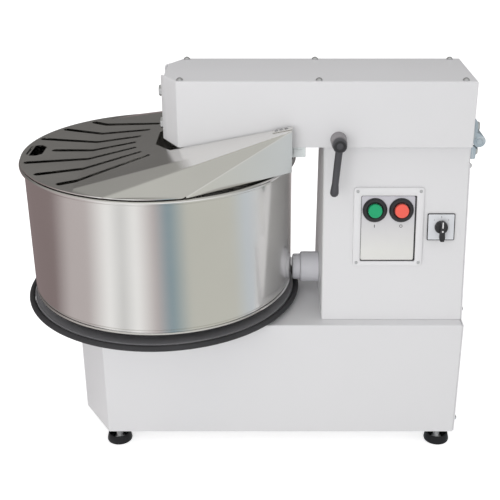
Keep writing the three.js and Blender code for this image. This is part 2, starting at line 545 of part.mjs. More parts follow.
const makeDrive = () => {
  const { baseZ, headZ, basePerTooth, headPerTooth } = CHAIN;
  const wheel = (x, z, teeth, perTooth, bore) =>
    sprocket(x, z - 4, z + 4, teeth * perTooth, teeth, bore);
  const shaftAt = [MAIN_X, 0];
  place('bowl_sprocket', wheel(BOWL.x, baseZ, CHAIN.bowlTeeth, basePerTooth, 20.3), steel);
  place('drive_pinion', wheel(MAIN_X, baseZ, CHAIN.pinionTeeth, basePerTooth, SHAFT.r + GAP), steel);
  place('bowl_chain', chain(BOWL.x, CHAIN.bowlTeeth * basePerTooth, MAIN_X,
    CHAIN.pinionTeeth * basePerTooth, baseZ - 5, baseZ + 5), steel);

  // flanged housing hung under the base's top sheet, round the dish's hub shaft
  const underTop = BASE_TOP - SHEET;
  const housing = union(rod('z', [BOWL.x, 0], underTop - 12, underTop - GAP, 62, 28),
    rod('z', [BOWL.x, 0], 150, underTop - 11, 40, 28));
  place('bowl_bearing', cut(housing, rod('z', [BOWL.x, 0], 140, 250, 20.5, 24)), steel);

  // the shaft runs from the pinion through the gear case to the dog clutch under the head
  const shaft = union(rod('z', shaftAt, SHAFT.bottom, 520, SHAFT.r, 20),
    rod('z', shaftAt, 516, SHAFT.joint, SHAFT.clutchR, 24));
  const slot = box(MAIN_X - 30, MAIN_X + 30, -4.8, 4.8, SHAFT.joint - 5, SHAFT.joint + 9);
  place('drive_shaft', cut(shaft, slot), steel);

  const gearCase = union(box(200, 300, -58, 58, 300, 385), rod('z', shaftAt, 290, 395, 36, 24),
    rod('x', [0, 342], 98, 201, 62, 24), box(120, 180, -25, 25, 402, 420));
  place('gear_motor', cut(gearCase, rod('z', shaftAt, 280, 400, SHAFT.r + 0.4, 20)), steel);

  const upper = union(rod('z', shaftAt, SHAFT.joint + 0.8, 534, SHAFT.clutchR, 24),
    box(MAIN_X - 20, MAIN_X + 20, -4, 4, SHAFT.joint - 4, SHAFT.joint + 1),
    rod('z', shaftAt, 533, 612, SHAFT.r, 20));
  place('clutch_sprocket',
    union(upper, wheel(MAIN_X, headZ, CHAIN.driveTeeth, headPerTooth, SHAFT.r - 1)), steel);
  place('spiral_sprocket',
    wheel(SPIRAL.x, headZ, CHAIN.spiralTeeth, headPerTooth, SPIRAL.shaftR + GAP), steel);
  place('head_chain', chain(SPIRAL.x, CHAIN.spiralTeeth * headPerTooth, MAIN_X,
    CHAIN.driveTeeth * headPerTooth, headZ - 5, headZ + 5), steel);
};

// ---------------------------------------------------------------- kneading spiral
const makeSpiral = () => {
  const { x, helixR, rodR, shaftR, bottom, top } = SPIRAL;
  const points = [new THREE.Vector3(0, 0, top + 4), new THREE.Vector3(helixR * 0.45, 0, top - 6)];
  const turns = 1.35;
  const steps = 26;
  for (let i = 0; i <= steps; i++) {
    const t = i / steps;
    const a = 0.5 + turns * 2 * Math.PI * t;
    const h = top - 22 - (top - 22 - bottom) * t;
    points.push(new THREE.Vector3(helixR * Math.cos(a), helixR * Math.sin(a), h));
  }
  const last = 0.5 + turns * 2 * Math.PI + 0.55;
  points.push(new THREE.Vector3(helixR * 0.62 * Math.cos(last), helixR * 0.62 * Math.sin(last), bottom));
  const path = new THREE.CatmullRomCurve3(points, false, 'centripetal');
  const section = new THREE.Shape(arc(0, 0, rodR, 0, 315, 7).map(([a, b]) => new THREE.Vector2(a, b)));
  const g = new THREE.ExtrudeGeometry(section, { steps: 52, extrudePath: path, bevelEnabled: false });
  const hook = toSolid(g).translate([x, 0, 0]);
  const shaft = rod('z', [x, 0], top - 12, 606, shaftR, 20);
  place('spiral_hook', union(hook, shaft), stainless);
};

// ---------------------------------------------------------------- clamp lever
const makeClamp = () => {
  const hubY = -106 - GAP;
  const tip = [CLAMP.x - 7, -121, 472];
  const a = new THREE.Vector3(CLAMP.x, hubY - 6, CLAMP.z - 3);
  const b = new THREE.Vector3(...tip);
  const arm = new THREE.CylinderGeometry(5.6, 5, a.distanceTo(b), 12);
  arm.applyQuaternion(new THREE.Quaternion().setFromUnitVectors(
    new THREE.Vector3(0, 1, 0), a.clone().sub(b).normalize()));
  arm.translate((a.x + b.x) / 2, (a.y + b.y) / 2, (a.z + b.z) / 2);
  const ball = new THREE.SphereGeometry(7.3, 12, 8).translate(...tip);
  const hub = rod('y', [CLAMP.x, CLAMP.z], hubY - 12, hubY, CLAMP.hub, 24);
  const lever = union(hub, toSolid(arm), toSolid(ball),
    rod('y', [CLAMP.x, CLAMP.z], hubY - 1, -61, CLAMP.spindle, 16));
  place('clamp_lever', lever, black);
};

makeBase();
makeColumn();
makeRearCover();
makeFeet();
makeControls();
makeBuffer();
makeHinge();
makeHead();
makeLid();
makeBowl();
makeDrive();
makeSpiral();
makeClamp();

export default machine;
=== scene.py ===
import json
import math

import bmesh
import bpy
from mathutils import Matrix, Vector, geometry


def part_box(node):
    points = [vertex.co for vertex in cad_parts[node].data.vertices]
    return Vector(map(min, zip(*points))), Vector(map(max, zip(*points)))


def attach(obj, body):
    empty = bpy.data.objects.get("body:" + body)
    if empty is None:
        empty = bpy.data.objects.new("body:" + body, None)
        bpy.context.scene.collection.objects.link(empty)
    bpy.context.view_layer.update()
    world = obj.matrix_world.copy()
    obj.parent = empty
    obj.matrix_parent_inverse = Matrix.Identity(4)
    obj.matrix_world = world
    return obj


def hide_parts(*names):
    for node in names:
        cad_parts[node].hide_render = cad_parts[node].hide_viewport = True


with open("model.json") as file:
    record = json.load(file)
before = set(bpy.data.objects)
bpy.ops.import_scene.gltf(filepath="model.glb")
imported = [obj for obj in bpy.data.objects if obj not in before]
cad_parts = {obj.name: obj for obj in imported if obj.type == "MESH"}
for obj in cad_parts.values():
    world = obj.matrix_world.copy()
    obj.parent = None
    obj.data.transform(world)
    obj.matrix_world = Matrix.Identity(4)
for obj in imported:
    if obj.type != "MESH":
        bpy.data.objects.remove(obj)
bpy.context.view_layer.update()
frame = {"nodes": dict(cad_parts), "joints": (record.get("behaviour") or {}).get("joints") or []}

MM = 0.001
HERE = Matrix.Identity(4)
UP_TO_X = Matrix.Rotation(math.radians(90), 4, "Y")      # local Z becomes +X
UP_TO_MINUS_X = Matrix.Rotation(math.radians(-90), 4, "Y")
UP_TO_FRONT = Matrix.Rotation(math.radians(90), 4, "X")  # local Z becomes -Y, local Y becomes Z
YZ_TO_X = Matrix(((0, 0, 1, 0), (1, 0, 0, 0), (0, 1, 0, 0), (0, 0, 0, 1)))


def at(x, y, z, turn=HERE):
    return Matrix.Translation((x, y, z)) @ turn


def node_box(node):
    low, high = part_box(node)
    return low / MM, high / MM


def node_mid(node):
    low, high = node_box(node)
    return (low + high) / 2


# ------------------------------------------------------------------ dimensions
SHEET = 2.0
BASE_NOSE = {"half": 55.7, "depth": 52.5}
HEAD_NOSE = {"half": 31.4, "depth": 28.8, "setback": 5.4, "ear": 2.0}
COLUMN_HALF = {"bottom": 117.7, "top": 70.9}
LID = {
    "z": 503.1, "sheet": 1.5, "r": 230.0, "slope": 0.2, "inner": 85.0, "ridge": 107.0, "fold_half": 185.0,
    "fold": 112.3, "fold_rim": 222.3, "ridge_start": (63.8, 221.0), "bend": 2.0,
    "slot_outer": 6.4, "slot_inner": 4.6,
}

base_low, base_high = node_box("base_housing")
column_low = node_box("column_housing")[0]
head_low, head_high = node_box("head_cover")
rear_x = head_high.x
base_top = base_high.z
seam_z = head_low.z - 0.3
bowl_mid = node_mid("bowl")
bowl_x = bowl_mid.x
hinge_mid = node_mid("hinge_pin")


def column_half(z):
    share = (z - base_top) / (seam_z - base_top)
    return COLUMN_HALF["bottom"] + share * (COLUMN_HALF["top"] - COLUMN_HALF["bottom"])


# ------------------------------------------------------------------ outlines
def inset(outline, by):
    """The same corners, moved in by a distance. The outline runs anticlockwise."""
    moved = []
    for i, point in enumerate(outline):
        p, a, b = Vector(point), Vector(outline[i - 1]), Vector(outline[(i + 1) % len(outline)])
        before, after = (p - a).normalized(), (b - p).normalized()
        n1, n2 = Vector((-before.y, before.x)), Vector((-after.y, after.x))
        moved.append(p + (n1 + n2) * by / (1 + n1.dot(n2)))
    return moved


def rounded(outline, radius, steps=5):
    """Corners turned into arcs. The radius is one number, or one per corner."""
    radii = radius if isinstance(radius, list) else [radius] * len(outline)
    points = []
    for i, point in enumerate(outline):
        p, a, b = Vector(point), Vector(outline[i - 1]), Vector(outline[(i + 1) % len(outline)])
        to_a, to_b = (a - p), (b - p)
        reach = min(radii[i] / max(math.tan(to_a.angle(to_b) / 2), 1e-6), to_a.length / 2.01,
                    to_b.length / 2.01)
        start, end = p + to_a.normalized() * reach, p + to_b.normalized() * reach
        for k in range(steps + 1):
            t = k / steps
            points.append(start * (1 - t) ** 2 + p * 2 * t * (1 - t) + end * t ** 2)
    return points


def rectangle(x0, x1, y0, y1):
    return [(x0, y0), (x1, y0), (x1, y1), (x0, y1)]


def nosed(low, high, nose):
    return [(high.x, low.y), (high.x, high.y), (low.x + nose["depth"], high.y),
            (low.x, nose["half"]), (low.x, -nose["half"]), (low.x + nose["depth"], low.y)]


def circle(r, sides, cx=0.0, cy=0.0):
    return [(cx + r * math.cos(2 * math.pi * i / sides), cy + r * math.sin(2 * math.pi * i / sides))
            for i in range(sides)]


def arc(cx, cy, r, start, end, steps):
    angles = [math.radians(start + (end - start) * i / steps) for i in range(steps + 1)]
    return [(cx + r * math.cos(a), cy + r * math.sin(a)) for a in angles]


# ------------------------------------------------------------------ shapes
class Shape:
    """Closed bodies, gathered into one mesh."""

    def __init__(self):
        self.verts, self.faces = [], []

    def loft(self, loops, place=HERE, closed=False):
        start, n = len(self.verts), len(loops[0])
        for loop in loops:
            self.verts += [place @ Vector(p) for p in loop]
        pairs = [(i, i + 1) for i in range(len(loops) - 1)]
        if closed:
            pairs.append((len(loops) - 1, 0))
        for a, b in pairs:
            for k in range(n):
                m = (k + 1) % n
                self.faces.append([start + a * n + k, start + a * n + m, start + b * n + m,
                                   start + b * n + k])
        if not closed:
            self.faces.append([start + k for k in range(n)])
            self.faces.append([start + (len(loops) - 1) * n + k for k in range(n)])
        return self

    def block(self, outline, z0, z1, corner=1.0, edge=0.6, place=HERE, steps=3):
        """Upright prism with rounded edges and corners, one radius or one for each corner."""
        edge = min(edge, (z1 - z0) / 2.01)
        angles = [math.pi / 2 * k / steps for k in range(steps + 1)]
        rim = [(edge * (1 - math.sin(a)), edge * (1 - math.cos(a))) for a in angles]
        levels = [(i, z0 + h) for i, h in rim] + [(i, z1 - h) for i, h in reversed(rim)]
        loops = []
        for by, z in levels:
            radii = corner if isinstance(corner, list) else [corner] * len(outline)
            flat = rounded(inset(outline, by), [max(c - by, 0.15) for c in radii])
            loops.append([(p.x, p.y, z) for p in flat])
        return self.loft(loops, place)

    def lathe(self, profile, place=HERE, sides=96, closed=False):
        """Profile is [radius, height] about the local Z axis."""
        loops = []
        for r, z in profile:
            loops.append([(x, y, z) for x, y in circle(max(r, 1e-5), sides)])
        return self.loft(loops, place, closed)

    def tube(self, points, radii, sides=24):
        """Round bar along a path, with rounded ends."""
        path = [Vector(p) for p in points]
        tangents = [(path[min(i + 1, len(path) - 1)] - path[max(i - 1, 0)]).normalized()
                    for i in range(len(path))]
        side = tangents[0].orthogonal().normalized()
        loops = []

        def ring(centre, tangent, radius):
            nonlocal side
            side = (side - tangent * side.dot(tangent)).normalized()
            other = tangent.cross(side)
            loops.append([centre + side * x + other * y for x, y in circle(radius, sides)])

        ends = [math.radians(a) for a in (88, 66, 44, 22)]
        for a in ends:
            ring(path[0] - tangents[0] * radii[0] * math.sin(a), tangents[0], radii[0] * math.cos(a))
        for p, t, r in zip(path, tangents, radii):
            ring(p, t, r)
        for a in reversed(ends):
            ring(path[-1] + tangents[-1] * radii[-1] * math.sin(a), tangents[-1],
                 radii[-1] * math.cos(a))
        return self.loft(loops)

    def piece(self, name, material, body, *nodes, slot=None, place=HERE, sharp=35):
        bm = bmesh.new()
        made = [bm.verts.new(v * MM) for v in self.verts]
        for face in self.faces:
            bm.faces.new([made[i] for i in face])
        bmesh.ops.remove_doubles(bm, verts=bm.verts, dist=1e-7)
        bmesh.ops.recalc_face_normals(bm, faces=bm.faces)
        return finish_piece(bm, name, material, body, nodes, place, sharp)


def finish_piece(bm, name, material, body, nodes, place=HERE, sharp=35):
    mesh = bpy.data.meshes.new(name)
    bm.to_mesh(mesh)
    bm.free()
    mesh.materials.append(material)
    mesh.shade_smooth()
    mesh.set_sharp_from_angle(angle=math.radians(sharp))
    obj = bpy.data.objects.new(name, mesh)
    bpy.context.scene.collection.objects.link(obj)
    scaled = place.copy()
    scaled.translation = place.translation * MM
    obj.matrix_world = scaled
    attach(obj, body)
    if nodes:
        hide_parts(*nodes)
    return obj


# ------------------------------------------------------------------ materials
class Tree:
    """A node tree, with short ways to add nodes, set their inputs and join them."""

    def __init__(self, owner):
        owner.use_nodes = True
        self.nodes, self.links = owner.node_tree.nodes, owner.node_tree.links

    def feed(self, node, **inputs):
        """Inputs by name. An output socket is linked, and anything else is a value."""
        for name, value in inputs.items():
            socket = node.inputs[name.replace("_", " ")]
            if isinstance(value, bpy.types.NodeSocket):
                self.links.new(value, socket)
            elif socket.type == "RGBA":
                socket.default_value = (*value, 1)
            else:
                socket.default_value = value
        return node

    def add(self, kind, **inputs):
        return self.feed(self.nodes.new("ShaderNode" + kind), **inputs)

    def mix(self, factor, a, b):
        node = self.nodes.new("ShaderNodeMix")
        node.data_type = "RGBA"
        return self.feed(node, Factor=factor, A=a, B=b).outputs["Result"]

    def span(self, value, low, high, to_low=0.0, to_high=1.0):
        return self.add("MapRange", Value=value, From_Min=low, From_Max=high, To_Min=to_low,
                        To_Max=to_high).outputs["Result"]

    def calculate(self, operation, *values):
        node = self.nodes.new("ShaderNodeMath")
        node.operation = operation
        for socket, value in zip(node.inputs, values):
            if isinstance(value, bpy.types.NodeSocket):
                self.links.new(value, socket)
            else:
                socket.default_value = value
        return node.outputs[0]

    def ramp(self, value, stops):
        node = self.add("ValToRGB", Fac=value)
        elements = node.color_ramp.elements
        elements[0].color, elements[1].color = (*stops[0][1], 1), (*stops[-1][1], 1)
        for position, colour in stops[1:-1]:
            elements.new(position).color = (*colour, 1)
        return node.outputs["Color"]

    def bearing(self, x, y):
        """Compass bearing from the front as 0 to 1: 0.5 is the front, 0.75 the right."""
        turn = self.calculate("ARCTAN2", x, self.calculate("MULTIPLY", y, -1))
        return self.span(turn, -math.pi, math.pi)


NOISE_RANGE = (0.3, 0.7)         # the part of a noise texture's range that most of it lies in
EDGE_POINTINESS = (0.53, 0.62)   # where an edge begins to look worn, and where it is fully so
EDGE_WEAR = 0.5


def surface(name, colour, roughness, metallic=0.0, grain=900, bump=0.1, depth=0.02, tint=0.03,
            tint_scale=30, spread=0.08, specular=0.5, anisotropic=0.0, wear=None, painted_shade_by_height=None):
    """Principled surface. grain is noise cells per metre, for all axes or for each; the last argument
    is painted shade, a second colour that the sheet passes to between two heights of its own Y."""
    material = bpy.data.materials.new(name)
    tree = Tree(material)
    shader = tree.nodes["Principled BSDF"]
    tree.feed(shader, Metallic=metallic, Specular_IOR_Level=specular, Anisotropic=anisotropic)
    coords = tree.add("TexCoord").outputs["Object"]

    def noise(scale, detail):
        mapping = tree.add("Mapping", Vector=coords, Scale=scale)
        return tree.add("TexNoise", Vector=mapping.outputs["Vector"], Scale=1.0,
                        Detail=detail).outputs["Fac"]

    fine = noise(grain if isinstance(grain, tuple) else (grain,) * 3, 3.0)
    broad = noise((tint_scale,) * 3, 4.0)
    shade = tree.mix(tree.span(broad, *NOISE_RANGE), [c * (1 - tint) for c in colour],
                     [min(c * (1 + tint), 1) for c in colour])
    # painted shade: between two heights of its own Y the colour passes to a second colour that stands in
    # for shade
    if painted_shade_by_height:
        start, end, upper = painted_shade_by_height
        own = tree.add("SeparateXYZ", Vector=coords)
        shade = tree.mix(tree.span(own.outputs["Y"], start, end), shade, upper)
    if wear:
        edge = tree.add("NewGeometry").outputs["Pointiness"]
        shade = tree.mix(tree.span(edge, *EDGE_POINTINESS, 0, EDGE_WEAR), shade, wear)
    rough = tree.calculate(
        "ADD", tree.span(fine, *NOISE_RANGE, roughness - spread / 2, roughness + spread / 2),
        tree.span(broad, *NOISE_RANGE, -spread / 2, spread / 2))
    relief = tree.add("Bump", Strength=bump, Distance=depth * MM, Height=fine)
    tree.feed(shader, Base_Color=shade, Roughness=rough, Normal=relief.outputs["Normal"])
    if anisotropic:
        tangent = tree.add("Tangent")
        tangent.direction_type, tangent.axis = "RADIAL", "Z"
        tree.feed(shader, Tangent=tangent.outputs["Tangent"])
    return material


paint = surface("white_powder_coat", (0.80, 0.80, 0.81), 0.42, grain=700, bump=0.25, depth=0.06,
                tint=0.012, tint_scale=3, spread=0.06, wear=(0.86, 0.86, 0.86))
turned_steel = surface("turned_stainless", (0.80, 0.79, 0.77), 0.15, 1.0, (6, 6, 1600), 0.12,
                       tint_scale=4, spread=0.06, anisotropic=0.5)
plain_steel = surface("brushed_stainless", (0.78, 0.77, 0.75), 0.26, 1.0, (20, 1200, 1200), 0.12,
                      tint=0.04, tint_scale=6)
lid_steel = surface("satin_stainless_sheet", (0.86, 0.85, 0.83), 0.2, 1.0, (14, 1500, 14),
                    tint_scale=5, spread=0.05)
dish_steel = surface("grey_satin_steel", (0.46, 0.46, 0.48), 0.42, 0.35, (8, 8, 900), tint=0.08,
                     tint_scale=7)
zinc = surface("bright_zinc", (0.66, 0.67, 0.68), 0.36, 1.0, 1500, 0.15, tint=0.08, tint_scale=60,
               spread=0.12)
drive_steel = surface("oiled_machined_steel", (0.42, 0.42, 0.43), 0.34, 1.0, (400, 400, 1500), 0.2,
                      depth=0.03, tint=0.15, spread=0.15)
motor_paint = surface("motor_enamel", (0.16, 0.19, 0.22), 0.5, grain=500, bump=0.4, depth=0.15,
                      tint=0.1, tint_scale=12, spread=0.12)
casting = surface("blue_grey_casting", (0.42, 0.50, 0.55), 0.45, 0.1, 600, 0.5, depth=0.12, tint=0.06,
                  tint_scale=20, spread=0.12, wear=(0.62, 0.66, 0.68))
grey_plastic = surface("grey_moulded_plastic", (0.76, 0.76, 0.80), 0.42, bump=0.2, depth=0.04,
                       tint_scale=15)
boss_grey = surface("grey_clamp_boss", (0.29, 0.275, 0.285), 0.45, bump=0.2, depth=0.04, tint=0.06,
                    tint_scale=40, spread=0.1)
black_plastic = surface("black_moulded_plastic", (0.022, 0.022, 0.025), 0.42, grain=1100, bump=0.3,
                        depth=0.05, tint=0.2, spread=0.1)
lever_plastic = surface("dark_grey_lever_plastic", (0.065, 0.065, 0.072), 0.45, grain=1000, bump=0.3,
                        depth=0.05, tint=0.12, tint_scale=25, spread=0.1)
rubber = surface("black_rubber", (0.034, 0.034, 0.037), 0.62, grain=800, bump=0.4, depth=0.08,
                 tint=0.25, tint_scale=18, spread=0.14)
foot_black = surface("black_foot_moulding", (0.012, 0.012, 0.014), 0.5, grain=800, bump=0.4,
                     depth=0.08, tint=0.25, tint_scale=18, spread=0.14, specular=0.25)
green = surface("green_button_plastic", (0.008, 0.41, 0.17), 0.5, depth=0.03, tint=0.06,
                tint_scale=40, spread=0.06)
red = surface("red_button_plastic", (1.0, 0.14, 0.10), 0.5, depth=0.03, tint_scale=40, spread=0.06)
panel_frame_paint = surface("panel_frame_plastic", (0.84, 0.84, 0.85), 0.38, bump=0.15, depth=0.03,
                            tint=0.015, tint_scale=20, spread=0.06)
# the panel's face is painted darker and bluer towards the top, as painted shade
panel_sheet = surface("panel_sheet", (0.82, 0.82, 0.79), 0.34, grain=(400, 900, 900), tint=0.015,
                      tint_scale=14, spread=0.06, painted_shade_by_height=(-0.045, 0.05, (0.62, 0.61, 0.66)))
dial_sheet = surface("dial_sheet", (0.78, 0.80, 0.83), 0.34, grain=(600, 900, 900))
milky = surface("milky_plastic", (0.92, 0.98, 0.97), 0.3, grain=500, bump=0.15, depth=0.04,
                tint=0.05)
white_ink = surface("white_index_ink", (0.85, 0.85, 0.85), 0.5, tint_scale=50, spread=0.05)


# ------------------------------------------------------------------ fasteners
def dome_screw(name, place, body, *nodes, r=5.0, h=3.6, socket=2.2):
    """Button-head screw with a washer flange and a socket; local Z points out."""
    dome = [(r * 0.93 * math.cos(math.radians(a)), 0.9 + (h - 0.9) * math.sin(math.radians(a)))
            for a in (0, 22, 44, 62)]
    head = [(0, -6), (r * 0.5, -6), (r * 0.5, 0), (r, 0), (r, 0.7), *dome, (socket, h),
            (socket, h * 0.45), (0, h * 0.4)]
    return Shape().lathe(head, sides=32).piece(name, zinc, body, *nodes, slot="zinc_fastener",
                                               place=place)


def hex_bolt(name, place, body, *nodes, across=16.0, h=6.4, washer=10.5, collar=0.0):
    """Hexagon bolt on a plain washer, with a collar below it if asked; local Z points out."""
    shape = Shape()
    if collar:
        shape.lathe([(0, -collar), (washer - 1.6, -collar), (washer - 1.6, 0.1), (0, 0.1)], sides=40)
    shape.lathe([(0, 0), (washer, 0), (washer, 0.9), (washer - 0.4, 1.2), (0, 1.2)], sides=40)
    corner = across / math.sqrt(3)
    hexagon = circle(corner, 6)
    shape.block(hexagon, 1.25, h - 1, corner=0.5, edge=0.2)
    shape.block(inset(hexagon, 0.5), h - 1.05, h, corner=2.2, edge=0.5)
    shape.lathe([(0, -8), (across * 0.28, -8), (across * 0.28, 0.5), (0, 0.5)], sides=24)
    return shape.piece(name, zinc, body, *nodes, slot="zinc_fastener", place=place)


# ------------------------------------------------------------------ stand
def folded_case(outline, z0, z1, corners, edge):
    """Folded sheet case with soft top edges."""
    def loop(by, z):
        flat = rounded(inset(outline, by), [max(c - by, 0.3) for c in corners], steps=6)
        return [(p.x, p.y, z) for p in flat]

    loops = [loop(0.5, z0), loop(0, z0 + 0.5)]
    for k in range(7):
        a = math.pi / 2 * k / 6
        loops.append(loop(edge * (1 - math.cos(a)), z1 - edge + edge * math.sin(a)))
    return Shape().loft(loops)


def make_stand():
    base = folded_case(nosed(base_low, base_high, BASE_NOSE), base_low.z, base_top,
                       [0.8, 0.8, 4, 4, 4, 4], 2.5)
    base.piece("base_case", paint, "stand", "base_housing", slot="white_paint")

    column = Shape()
    left, right = column_low.x, rear_x - SHEET - 0.3
    levels = [(base_top + 0.3, 0.4), (base_top + 0.9, 0), (seam_z - 1.4, 0), (seam_z - 0.6, 0.5)]
    loops = []
    for z, by in levels:
        half = column_half(z)
        flat = rounded(inset(rectangle(left, right, -half, half), by), [5, 0.8, 0.8, 5], steps=6)
        loops.append([(p.x, p.y, z) for p in flat])
    column.loft(loops)
    column.block(rectangle(-16, 16, seam_z - 3, clamp_z + 17), -2.5, 2.5, 2, 0.5,
                 at(clamp_x, -67, 0, UP_TO_FRONT))
    column.block(rectangle(-70, 70, 506.3, seam_z - 0.5), right - 1, rear_x, 2, 0.4, YZ_TO_X)
    column.piece("column_case", paint, "stand", "column_housing", slot="white_paint")

    cover_top = 506.0
    bottom = base_low.z + SHEET
    outline = [(-base_high.y, bottom), (base_high.y, bottom), (base_high.y, base_top),
               (column_half(base_top), base_top), (column_half(cover_top), cover_top),
               (-column_half(cover_top), cover_top), (-column_half(base_top), base_top),
               (-base_high.y, base_top)]
    cover = Shape().block(outline, rear_x - SHEET, rear_x, 1.5, 0.4, YZ_TO_X)
    cover.piece("rear_cover_sheet", paint, "stand", "rear_cover", slot="white_paint")
    for i in range(1, 5):
        place = screw_place(f"rear_screw_{i}")
        dome_screw(f"rear_cover_screw_{i}", place, "stand", f"rear_screw_{i}")
    for i, y in enumerate((-102, 102)):
        dome_screw(f"rear_cover_mid_screw_{i + 1}", at(rear_x + 0.3, y, 254, UP_TO_X), "stand")


def screw_place(node):
    mid = node_mid(node)
    return at(rear_x + 0.3, mid.y, mid.z, UP_TO_X)


def make_gland():
    mid = node_mid("cable_gland")
    place = at(rear_x + 0.3, mid.y, mid.z, UP_TO_X)
    shape = Shape()
    shape.block(circle(14.2, 6), 0, 5.6, corner=1.2, edge=0.8)
    for k in range(16):
        turn = Matrix.Rotation(2 * math.pi * k / 16, 4, "Z")
        shape.block(rectangle(10.4, 12.3, -0.9, 0.9), 5.8, 11.5, 0.5, 0.5, turn)
    dome = [(11.5 * math.cos(math.radians(a)), 10.5 + 5.2 * math.sin(math.radians(a)))
            for a in (0, 20, 40, 58)]
    shape.lathe([(5.2, -9), (9.8, -9), (9.8, 5), (11.5, 5.5), *dome, (5.2, 15.4)],
                closed=True, sides=48)
    shape.piece("mains_cable_gland", black_plastic, "stand", "cable_gland", slot="black_plastic",
                place=place)


def make_feet():
    for i in range(1, 5):
        node = f"levelling_foot_{i}"
        mid = node_mid(node)
        cup = Shape().lathe([(0, 0), (20.4, 0), (21.6, 0.8), (22, 2.4), (21.9, 4), (19.7, 14.4),
                             (19.2, 15.3), (18.2, 15.5), (17.4, 15), (17.2, 14), (18.6, 5.4),
                             (17.6, 4.3), (0, 4)], sides=72)
        cup.piece(f"foot_cup_{i}", foot_black, "stand", node, slot="foot_rubber",
                  place=at(mid.x, mid.y, 0))
        thread = []
        pitch = 1.75
        for k in range(int(20 / pitch)):
            z = 8 + k * pitch
            thread += [(5.0, z), (5.8, z + pitch / 2)]
        stud = Shape().lathe([(0, 3.8), (8.6, 3.8), (8.6, 6), (5.4, 7.4), *thread, (5.0, 29), (0, 29)],
                             sides=36)
        stud.piece(f"foot_stud_{i}", zinc, "stand", slot="zinc_fastener", place=at(mid.x, mid.y, 0))


# ------------------------------------------------------------------ control panel
press = next(j for j in frame["joints"] if j["name"] == "start_press")
inward = Vector(press["axis"]).normalized()
slope_up = Vector((1, 0, 0)).cross(inward)
PANEL_Z = 404.0
PANEL = Matrix(((1, 0, 0, 0), (0, inward.y, slope_up.y, -column_half(PANEL_Z)),
                (0, inward.z, slope_up.z, PANEL_Z), (0, 0, 0, 1)))


def on_panel(x, z, out=0.0):
    """Place on the leaning face: local X along it, local Y up it and local Z out of it."""
    return PANEL @ at(x, -out, z, UP_TO_FRONT)


def panel_xz(node):
    local = PANEL.inverted() @ node_mid(node)
    return local.x, local.z


def make_controls():
    frame_low, frame_high = node_box("control_frame")
    x0, x1 = frame_low.x, frame_high.x
    z0, z1 = -68.5, 64.0
    wx0, wx1, wz0, wz1 = x0 + 12, x1 - 12, -60.5, 50.5

    rim = Shape()
    outer = [(0, 0.4), (0, 4.0), (0.5, 5.2), (2.0, 6.0)]
    inner = [(-1.2, 6.0), (-0.3, 5.4), (0, 4.6), (0, 0.4)]
    loops = []
    for by, out in outer:
        flat = rounded(inset(rectangle(x0, x1, z0, z1), by), 5 - by, steps=6)
        loops.append([(p.x, p.y, out) for p in flat])
    for by, out in inner:
        flat = rounded(inset(rectangle(wx0, wx1, wz0, wz1), by), 2.5 - by, steps=6)
        loops.append([(p.x, p.y, out) for p in flat])
    rim.loft(loops, closed=True)
    rim.piece("panel_frame", panel_frame_paint, "stand", "control_frame", slot="panel_plate",
              place=on_panel(0, 0))

    # dark gasket, showing as an uneven line round the face
    gasket = Shape().block(rectangle(wx0 + 0.1, wx1 - 0.1, wz0 + 0.1, wz1 - 0.1), 0.4, 2.9, 2.2, 0.2)
    gasket.piece("panel_gasket", black_plastic, "stand", slot="black_plastic", place=on_panel(0, 0))
    face = Shape().block(rectangle(wx0 + 0.9, wx1 - 2.6, wz0 + 1.9, wz1 - 0.8), 2.7, 3.3, 3, 0.2)
    face.piece("panel_face", panel_sheet, "stand", "control_face", slot="panel_plate",
               place=on_panel(0, 0))
    corners = (x0 + 6, z1 - 6), (x1 - 6, z1 - 6), (x0 + 6, z0 + 6), (x1 - 6, z0 + 6)
    for i, (x, z) in enumerate(corners):
        dome_screw(f"panel_screw_{i + 1}", on_panel(x, z, 5.8), "stand", r=2.6, h=1.6, socket=1.1)

    for name, colour, slot in (("start", green, "green_plastic"), ("stop", red, "red_plastic")):
        x, z = panel_xz(f"{name}_bezel")
        ring = [(12.1, 3.1), (20.3, 3.1), (20.3, 4.2), (19.4, 6.4), (17.2, 8.6), (15.8, 9.0),
                (14.2, 8.8), (12.9, 8.0), (12.1, 6.6)]
        Shape().lathe(ring, closed=True).piece(
            f"{name}_button_bezel", black_plastic, "stand", f"{name}_bezel", slot="black_plastic",
            place=on_panel(x, z))
        cap = [(0, 4.7), (11.4, 4.7), (11.4, 12.4), (11.1, 13.3), (10.3, 13.9), (9.2, 14), (0, 13.4)]
        Shape().lathe(cap).piece(f"{name}_button_cap", colour, f"{name}_key", f"{name}_button",
                                 slot=slot, place=on_panel(x, z))
    # a bar under the start button and a ring under the stop button, the usual power marks
    x, z = panel_xz("start_bezel")
    Shape().block(rectangle(-0.6, 0.6, -2.4, 2.4), 3.2, 3.42, 0.3, 0.05).piece(
        "start_mark", black_plastic, "stand", slot="black_plastic", place=on_panel(x, z - 27))
    x, z = panel_xz("stop_bezel")
    Shape().lathe([(1.8, 3.2), (1.8, 3.42), (2.6, 3.42), (2.6, 3.2)], closed=True, sides=40).piece(
        "stop_mark", black_plastic, "stand", slot="black_plastic", place=on_panel(x, z - 27))


